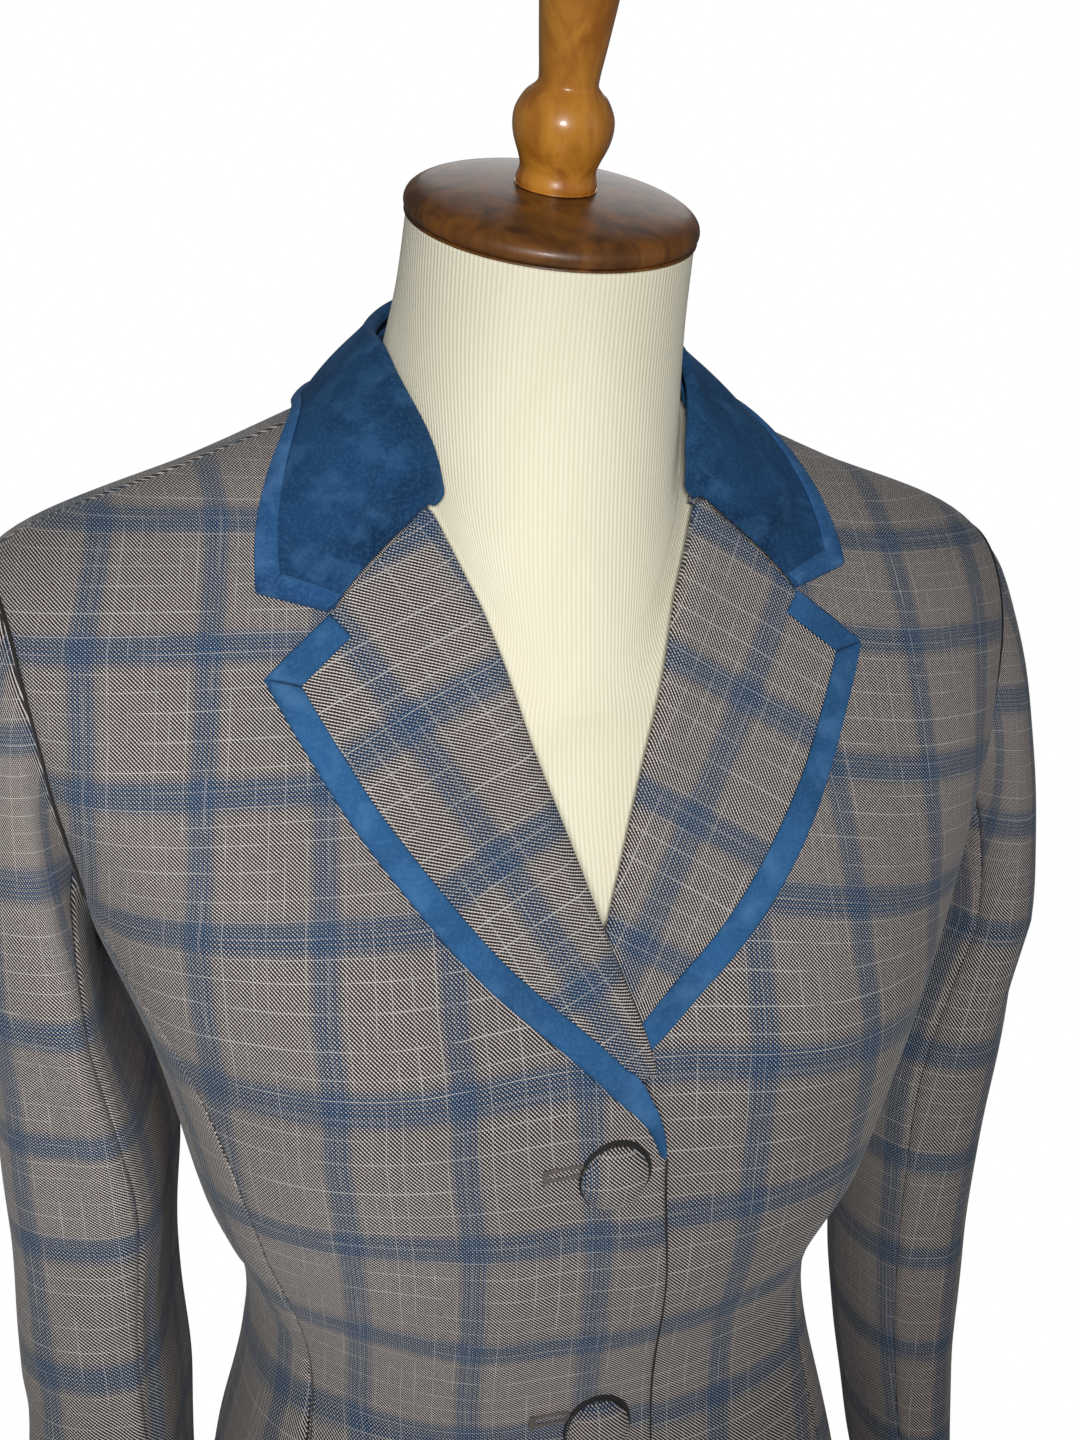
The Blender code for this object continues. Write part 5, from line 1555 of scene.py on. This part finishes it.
@dataclass
class Closure:
    """The three cloth-covered buttons, their worked buttonholes, and the seams' edge stitches."""

    form: CoatForm
    cloth: bpy.types.Material
    thread: bpy.types.Material
    silk: bpy.types.Material
    shade: bpy.types.Material
    # across and up for each button, and how far its buttonhole lies above it
    spots: tuple = ((0.0, 0.5278, 0.0034), (0.0045, 0.4015, 0.0070), (0.0055, 0.2740, 0.0035))
    button_r: float = 0.0134
    profile: tuple = ((0, 0.0062), (0.18, 0.00615), (0.35, 0.0060), (0.52, 0.0056), (0.68, 0.0050), (0.82, 0.0041),
                      (0.92, 0.0030), (0.985, 0.0017), (0.995, 0.0008), (0.93, 0.0002), (0.72, 0.0), (0, 0.0))
    ring_r: float = 0.0013
    ring_out: float = 0.0009
    ring_turn: float = math.radians(62)
    hole_long: float = 0.0155
    hole_high: float = 0.0040
    hole_from: float = 0.0120
    hole_up: float = 0.0014
    purl: float = 0.00115
    bar_r: float = 0.00095
    bar_past: float = 0.0012
    stitch: float = 0.0032      # from one stitch to the next, and the share of that which is thread
    stitch_share: float = 0.62
    stitch_step: float = 0.0004
    stitch_r: float = 0.00028
    stitch_in: float = 0.0022
    shade_r: float = 0.0008
    # the free edge's shade: how far past the edge and below the face it lies, and its share of shade_r
    edge_shade: tuple = (0.0003, 0.0007, 0.6)
    turning: float = 0.0040
    turning_deep: float = 0.0036
    turning_flat: float = 0.12
    turning_steps: int = 200

    def add_button(self, number: int, x: float, z: float) -> None:
        """One button, its cloth lying square to the front's own plaid."""
        angle, level = self.form.front_place(x, z)
        seat, outward = self.form.point(angle, level), self.form.normal(angle, level)
        rim = [self.form.point(*self.form.front_place(x, z + way * self.button_r)) for way in (-1, 1)]
        lift = 0.0006 + max(0.0, *(float((point - seat) @ outward) for point in rim))
        mesh = turned_mesh(f"button_{number}", [(r * self.button_r, h) for r, h in self.profile], 64, 3)
        cut = mesh.uv_layers.new(name="cut")
        for loop in mesh.loops:
            place = mesh.vertices[loop.vertex_index].co
            cut.data[loop.index].uv = (place.x + 0.013 * number, place.y + 0.021 * number)
        turn = Vector(outward).to_track_quat("Z", "Y").to_matrix().to_4x4()
        mesh.transform(Matrix.Translation(seat + outward * lift) @ turn)
        add_piece(f"button_{number}", mesh, self.cloth, "wool", (f"button_{number}",))
        # painted shade: a dark thread round the button, heaviest above it and beside the free edge, stands for the
        # shadow where the front puckers up round it
        steps = np.linspace(0, FULL_TURN, 120)
        heavy = lerp(0.25, 1.0, (0.5 + 0.5 * np.cos(steps - self.ring_turn)) ** 1.3)
        reach = self.button_r + self.ring_out * heavy
        place = self.form.front_place(x + reach * np.cos(steps), z + reach * np.sin(steps))
        tube(f"button_ring_{number}", self.form.point(*place, 0.0007), self.ring_r * heavy, self.form.normal(*place),
             self.shade, "wool", 8, 0.6)

    def add_buttonhole(self, number: int, x: float, z: float) -> None:
        """A worked buttonhole beside a button: purl stitches round a slit and a bar at its far end."""
        steps = np.linspace(0, FULL_TURN, 220)
        reach = signed_power(np.cos(steps), np.array(0.35))
        across = x - self.hole_from - self.hole_long / 2 + self.hole_long / 2 * reach
        high = z + self.hole_up + self.hole_high / 2 * signed_power(np.sin(steps), np.array(0.8))
        place = self.form.front_place(across, high)
        outward = self.form.normal(*place)
        bead = self.purl * (0.84 + 0.16 * np.cos(steps * 30))
        tube(f"buttonhole_{number}", self.form.point(*place, 0.0003), bead, outward, self.silk, "wool", 8, 0.7)
        bar = z + self.hole_up + np.linspace(-1, 1, 40) * (self.hole_high / 2 + self.bar_past)
        place = self.form.front_place(x - self.hole_from - self.hole_long, bar)
        swell = self.bar_r * (0.8 + 0.2 * np.cos(np.linspace(0, 40, 40)))
        swell[[0, -1]] = 0.0002
        tube(f"buttonhole_bar_{number}", self.form.point(*place, 0.0011), swell, self.form.normal(*place),
             self.silk, "wool", 8, 0.8)

    def add_stitches(self, name: str, path: Array, outward: Array, side: Side) -> None:
        """A line of small running stitches.

        Args:
            name: the piece's name.
            path: points of the line on the cloth's face.
            outward: outward normals along it.
            side: the wearer's side.
        """
        count = int(arc_of(path, 0)[-1] / self.stitch_step)
        fine = along(np.concatenate((path, outward), 1), np.linspace(0, 1, count))
        beat = (np.arange(count) * self.stitch_step / self.stitch) % 1.0 / self.stitch_share
        bead = np.where(beat < 1, np.sqrt(np.maximum(np.sin(np.pi * beat), 0.02)), 0.05)
        points, normals = mirrored(fine[:, :3], side), mirrored(unit(fine[:, 3:]), side)
        tube(name, points + normals * 0.00005, self.stitch_r * bead, normals, self.thread, "wool", 5)

    def add_shades(self) -> None:
        """Dark threads of painted shade: the line under the front's free edge, and those in the armholes' seams."""
        z = np.linspace(0.168, self.form.break_z - 0.010, 160)
        past, below, share = self.edge_shade
        place = self.form.front_place(self.form.edge_x(z) - past, z)
        tube("front_edge_shade", mirrored(self.form.point(*place, -below), Side.RIGHT), self.shade_r * share,
             mirrored(self.form.normal(*place), Side.RIGHT), self.shade, "wool", 6, 0.8)
        place = self.form.armhole(np.linspace(0, FULL_TURN, 240))
        for side in Side:
            path = self.form.hang(self.form.point(*place, 0.0), side)
            tube(f"armhole_shade_{side.word}", mirrored(path, side), self.shade_r,
                 mirrored(self.form.normal(*place), side), self.shade, "wool", 6, 0.8)

    def add_turnings(self) -> None:
        """The turnings pressed open behind the long seams, made in the near-black of painted shade, so the seams show
        dark between the pieces.
        """
        for name, seam in (("front", self.form.front_seam), ("back", self.form.back_seam)):
            levels, angles = track(seam)
            level = np.linspace(0.06, levels[-1], self.turning_steps)
            for side in Side:
                self.turn_in(f"turning_{name}_{side.word}", np.interp(level, levels, angles), level, side)
        level = np.linspace(0.06, self.form.neck - 0.10, self.turning_steps)
        self.turn_in("turning_centre_back", np.full_like(level, np.pi / 2), level, Side.LEFT)

    def turn_in(self, name: str, angle: Array, level: Array, side: Side) -> None:
        """One turning: a flat strip behind a seam.

        Args:
            name: the piece's name.
            angle: the seam's angles.
            level: the seam's levels.
            side: the wearer's side.
        """
        path = self.form.hang(self.form.point(angle, level, -self.turning_deep), side)
        tube(name, mirrored(path, side), self.turning, mirrored(self.form.normal(angle, level), side), self.shade,
             "wool", 8, self.turning_flat)

    def build(self) -> None:
        """Builds the buttons, buttonholes, turnings and stitches."""
        for number, (x, z, above) in enumerate(self.spots, start=1):
            self.add_button(number, x, z)
            self.add_buttonhole(number, x, z + above)
        self.add_shades()
        self.add_turnings()
        level = np.linspace(0.02, 5.9, 500)
        seam = np.interp(level, *track(self.form.front_seam))
        for side in Side:
            step = self.form.fine_angle
            beside = self.form.surface(seam - step, level) - self.form.surface(seam, level)
            angle = seam - step * self.stitch_in / np.linalg.norm(beside, axis=-1)
            path = self.form.hang(self.form.point(angle, level, -0.0002), side)
            self.add_stitches(f"princess_stitches_{side.word}", path, self.form.normal(angle, level), side)


# ---------------------------------------------------------------- the dress form and its stand


@dataclass
class DressForm:
    """The limbless padded form inside the coat, with its neck cap, finial, pole and base."""

    form: CoatForm
    jersey: bpy.types.Material
    dark_wood: bpy.types.Material
    pale_wood: bpy.types.Material
    floor_z: float = 0.195
    first_level: float = 0.35
    # how far the form lies inside the coat, level by level
    ease_side: tuple = (0.028, 0.012, 0.010, 0.0085, 0.008, 0.008, 0.010, 0.012, 0.0090, 0.0023, 0.0024)
    ease_front: tuple = (0.028, 0.014, 0.013, 0.013, 0.014, 0.016, 0.018, 0.017, 0.015, 0.012, 0.010)
    ease_back: tuple = (0.028, 0.012, 0.010, 0.0085, 0.008, 0.008, 0.008, 0.008, 0.0070, 0.0060, 0.0055)
    neck_rings: tuple = ((0.0600, 0.0700, 0.0560, 0.000, 0.8060, 0.7000, 0.8200, 2.0),
                         (0.0570, 0.0600, 0.0520, -0.007, 0.8230, 0.7600, 0.8390, 2.0),
                         (0.0545, 0.0520, 0.0515, -0.0175, 0.8440, 0.8130, 0.8620, 2.0),
                         (0.0532, 0.0501, 0.0501, -0.0274, 0.8699, 0.8521, 0.8877, 2.0))
    tilt: float = math.radians(19.5)
    cap_top: tuple = (0, -0.031, 0.880)
    cap_dome: float = 0.0035
    cap: tuple = ((0, 0.0035), (0.018, 0.00315), (0.034, 0.00175), (0.047, -0.0004), (0.0528, -0.0030),
                  (0.0545, -0.0062), (0.0535, -0.0090), (0.0510, -0.010), (0.0505, -0.010), (0, -0.010))
    finial: tuple = ((0, 0.152), (0.008, 0.150), (0.0135, 0.144), (0.0155, 0.134), (0.0160, 0.110),
                     (0.0148, 0.075), (0.0125, 0.052), (0.0108, 0.038), (0.0114, 0.0345), (0.0150, 0.031),
                     (0.0178, 0.0255), (0.0182, 0.0205), (0.0172, 0.0155), (0.0150, 0.0100), (0.0139, 0.006),
                     (0.0148, 0.002), (0.0146, 0.0), (0.0140, 0.0), (0, 0.0))
    base: tuple = ((0, 0.018), (0.138, 0.018), (0.140, 0.018), (0.157, 0.016), (0.164, 0.011), (0.165, 0.006),
                   (0.162, 0.0005), (0.161, 0.0), (0, 0.0))
    pole: tuple = ((0, 0.1947), (0.0128, 0.1947), (0.013, 0.1945), (0.013, 0.120), (0.013, 0.055), (0.015, 0.042),
                   (0.022, 0.034), (0.024, 0.026), (0.024, 0.0190), (0.0238, 0.0183), (0, 0.0183))
    columns: int = 121
    rows: tuple = (150, 50)     # up the body, and up the neck
    softness: float = 0.16      # how far round the neckline the form is softened

    def points(self, angle: Array, level: Array) -> Array:
        """Points of the padded body and its neck."""
        inside = np.minimum(level, self.form.neck)
        ahead = np.sin(angle)
        away = np.where(ahead < 0, spline(self.ease_front, inside), spline(self.ease_back, inside))
        depth = lerp(spline(self.ease_side, inside), away, smooth(0.10, 0.60, np.abs(ahead)))
        body = self.form.point(angle, inside, -depth)
        past = np.maximum(level - self.form.neck, 0.0)
        neck = ring_points(self.neck_rings, angle, past, lerp(2, 1, smooth(0, 1, past)))
        return np.where((level > self.form.neck)[..., None], neck, body)

    def build_body(self) -> None:
        """The jersey-covered torso and neck, closed at both ends."""
        neck, top = self.form.neck, self.form.neck + len(self.neck_rings) - 1
        level = np.concatenate((np.linspace(self.first_level, neck, self.rows[0]),
                                np.linspace(neck, top, self.rows[1] + 1)[1:]))[:, None]
        angle = np.linspace(-np.pi, np.pi, self.columns)[None, :]
        points = self.points(*np.broadcast_arrays(angle, level))
        points[0, :, 2] = self.floor_z
        blend = np.exp(-((level[:, 0] - neck) / self.softness) ** 2)[:, None, None]
        softened = (np.roll(points, 3, 0) + np.roll(points, -3, 0) + points) / 3
        softened[:3], softened[-3:] = points[:3], points[-3:]
        points = lerp(points, softened, blend)
        run = arc_of(points, 1)
        lay = np.stack((run - run[:, self.columns // 4, None], arc_of(points, 0)), -1)
        mesh = grid_mesh("form_torso", points, lay, False, closed=True)
        body = bmesh.new()
        body.from_mesh(mesh)
        bmesh.ops.holes_fill(body, edges=[edge for edge in body.edges if edge.is_boundary])
        body.to_mesh(mesh)
        body.free()
        add_piece("form_torso", mesh, self.jersey, "jersey", ("form_torso",))

    def build(self) -> None:
        """Builds the form and everything on its stand."""
        self.build_body()
        leaning = Matrix.Translation(self.cap_top) @ Matrix.Rotation(self.tilt, 4, "X")
        seated = leaning @ Matrix.Translation((0, 0, self.cap_dome + 0.0003))
        upright = Matrix.Identity(4)
        for name, profile, finish, slot, place in (
                ("neck_cap", self.cap, self.dark_wood, "walnut", leaning),
                ("finial", self.finial, self.pale_wood, "maple", seated),
                ("stand_pole", self.pole, self.pale_wood, "maple", upright),
                ("stand_base", self.base, self.dark_wood, "walnut", upright)):
            mesh = turned_mesh(name, profile, 96, 4)
            mesh.transform(place)
            add_piece(name, mesh, finish, slot, (name,))


# ---------------------------------------------------------------- studio


@dataclass
class Studio:
    """A pale floor, soft light and the camera."""

    view_from: tuple = (-0.216, -0.639, 0.851)
    turned: float = math.radians(-19.3)
    pitch: float = math.radians(14.6)
    roll: float = math.radians(0.7)
    sensor_high: float = 24.0
    lens: float = 1700 / 1440 * 24.0
    floor_r: float = 0.45
    # kind, place, aim, size in metres, watts; the spot's pool of light is strongest on the right shoulder
    lamps: tuple = (("SPOT", (-0.46, -1.38, 0.98), (-0.12, -0.05, 0.67), 0.15, 78.0),
                    ("AREA", (1.70, -1.70, 1.20), (0, 0, 0.70), 1.4, 2.2),
                    ("AREA", (0.80, 1.80, 1.90), (0, 0, 0.60), 1.2, 7.0))
    spot_wide: float = math.radians(38)

    def add_camera(self) -> None:
        """The camera, looking down at the chest from the coat's front right."""
        ahead = Vector((-math.sin(self.turned) * math.cos(self.pitch), math.cos(self.turned) * math.cos(self.pitch),
                        -math.sin(self.pitch)))
        right = Vector((math.cos(self.turned), math.sin(self.turned), 0))
        up = right.cross(ahead)
        lean, level = math.sin(self.roll), math.cos(self.roll)
        axes = Matrix((level * right + lean * up, level * up - lean * right, -ahead)).transposed().to_4x4()
        lens = bpy.data.cameras.new("camera")
        lens.sensor_fit, lens.sensor_height, lens.lens = "VERTICAL", self.sensor_high, self.lens
        lens.clip_start = 0.02
        camera = put_in_scene("camera", lens)
        camera.matrix_world = Matrix.Translation(self.view_from) @ axes
        bpy.context.scene.camera = camera

    def add_lamps(self) -> None:
        """The soft lamps."""
        for kind, place, aim, size, watts in self.lamps:
            lamp = bpy.data.lights.new("lamp", kind)
            lamp.energy = watts
            if kind == "SPOT":
                lamp.shadow_soft_size, lamp.spot_size, lamp.spot_blend = size, self.spot_wide, 1.0
            else:
                lamp.shape, lamp.size = "DISK", size
            holder = put_in_scene("lamp", lamp)
            way = (Vector(aim) - Vector(place)).to_track_quat("-Z", "Y").to_matrix().to_4x4()
            holder.matrix_world = Matrix.Translation(place) @ way

    def add_world(self) -> None:
        """White behind the coat, and an even grey light from all round."""
        world = bpy.data.worlds.new("studio")
        world.use_nodes = True
        tree = world.node_tree
        tree.nodes.clear()
        seen = tree.nodes.new("ShaderNodeLightPath")
        lit, white = tree.nodes.new("ShaderNodeBackground"), tree.nodes.new("ShaderNodeBackground")
        lit.inputs[0].default_value, lit.inputs[1].default_value = linear("#f1f3f6"), 0.14
        white.inputs[0].default_value, white.inputs[1].default_value = (1, 1, 1, 1), 1.0
        mixed, out = tree.nodes.new("ShaderNodeMixShader"), tree.nodes.new("ShaderNodeOutputWorld")
        tree.links.new(seen.outputs["Is Camera Ray"], mixed.inputs[0])
        tree.links.new(lit.outputs[0], mixed.inputs[1])
        tree.links.new(white.outputs[0], mixed.inputs[2])
        tree.links.new(mixed.outputs[0], out.inputs[0])
        bpy.context.scene.world = world
        bpy.context.scene.view_settings.view_transform = "Standard"

    def add_floor(self) -> None:
        """A plain pale floor under the base."""
        sheet = bmesh.new()
        bmesh.ops.create_circle(sheet, cap_ends=True, segments=128, radius=self.floor_r)
        mesh = bpy.data.meshes.new("floor")
        sheet.to_mesh(mesh)
        sheet.free()
        floor = put_in_scene("floor", mesh)
        b = Bench("pale_floor", Roughness=0.9, Specular_IOR_Level=0.1, Emission_Strength=0.55)
        b.surface.inputs["Base Color"].default_value = linear("#d8d8d6")
        b.surface.inputs["Emission Color"].default_value = linear("#ffffff")
        mesh.materials.append(b.material)

    def build(self) -> None:
        """Sets up the whole studio."""
        self.add_camera()
        self.add_lamps()
        self.add_world()
        self.add_floor()


def main() -> None:
    """Builds the studio, the form and the coat, in that order."""
    logging.basicConfig(level=logging.INFO, format="%(name)s: %(message)s")
    form, lay = CoatForm(), PlaidLay()
    wool = PlaidTwill().build()
    navy = Velvet("navy_velvet", "#0f2744", "#1d4269", "#416e9b").build()
    blue = Velvet("blue_velvet", "#254f78", "#2f5f8f", "#4f7daa").build()
    ribbon = Ribbon(blue)
    Studio().build()
    DressForm(form, Jersey().build(), TurnedWood("dark_stained_wood", "#4a2a0c", "#82501c", 0.45, 0.10).build(),
              TurnedWood("golden_turned_wood", "#a8661c", "#dc9836", 0.34, 0.35).build()).build()
    Body(form, lay, wool).build()
    Sleeves(form, lay, wool).build()
    Lapels(form, lay, wool, ribbon).build()
    Collar(form, navy, Ribbon(Velvet("mid_blue_velvet", "#1a3d66", "#2b5888", "#5784b2").build())).build()
    # the last thread, near-black, is painted shade for the button rings, the shade lines and the turnings
    Closure(form, wool, Thread("taupe_thread", "#4a3f3a").build(), Thread("grey_silk", "#6d6460").build(),
            Thread("shaded_wool", "#15110f").build()).build()


if __name__ == "__main__":
    main()
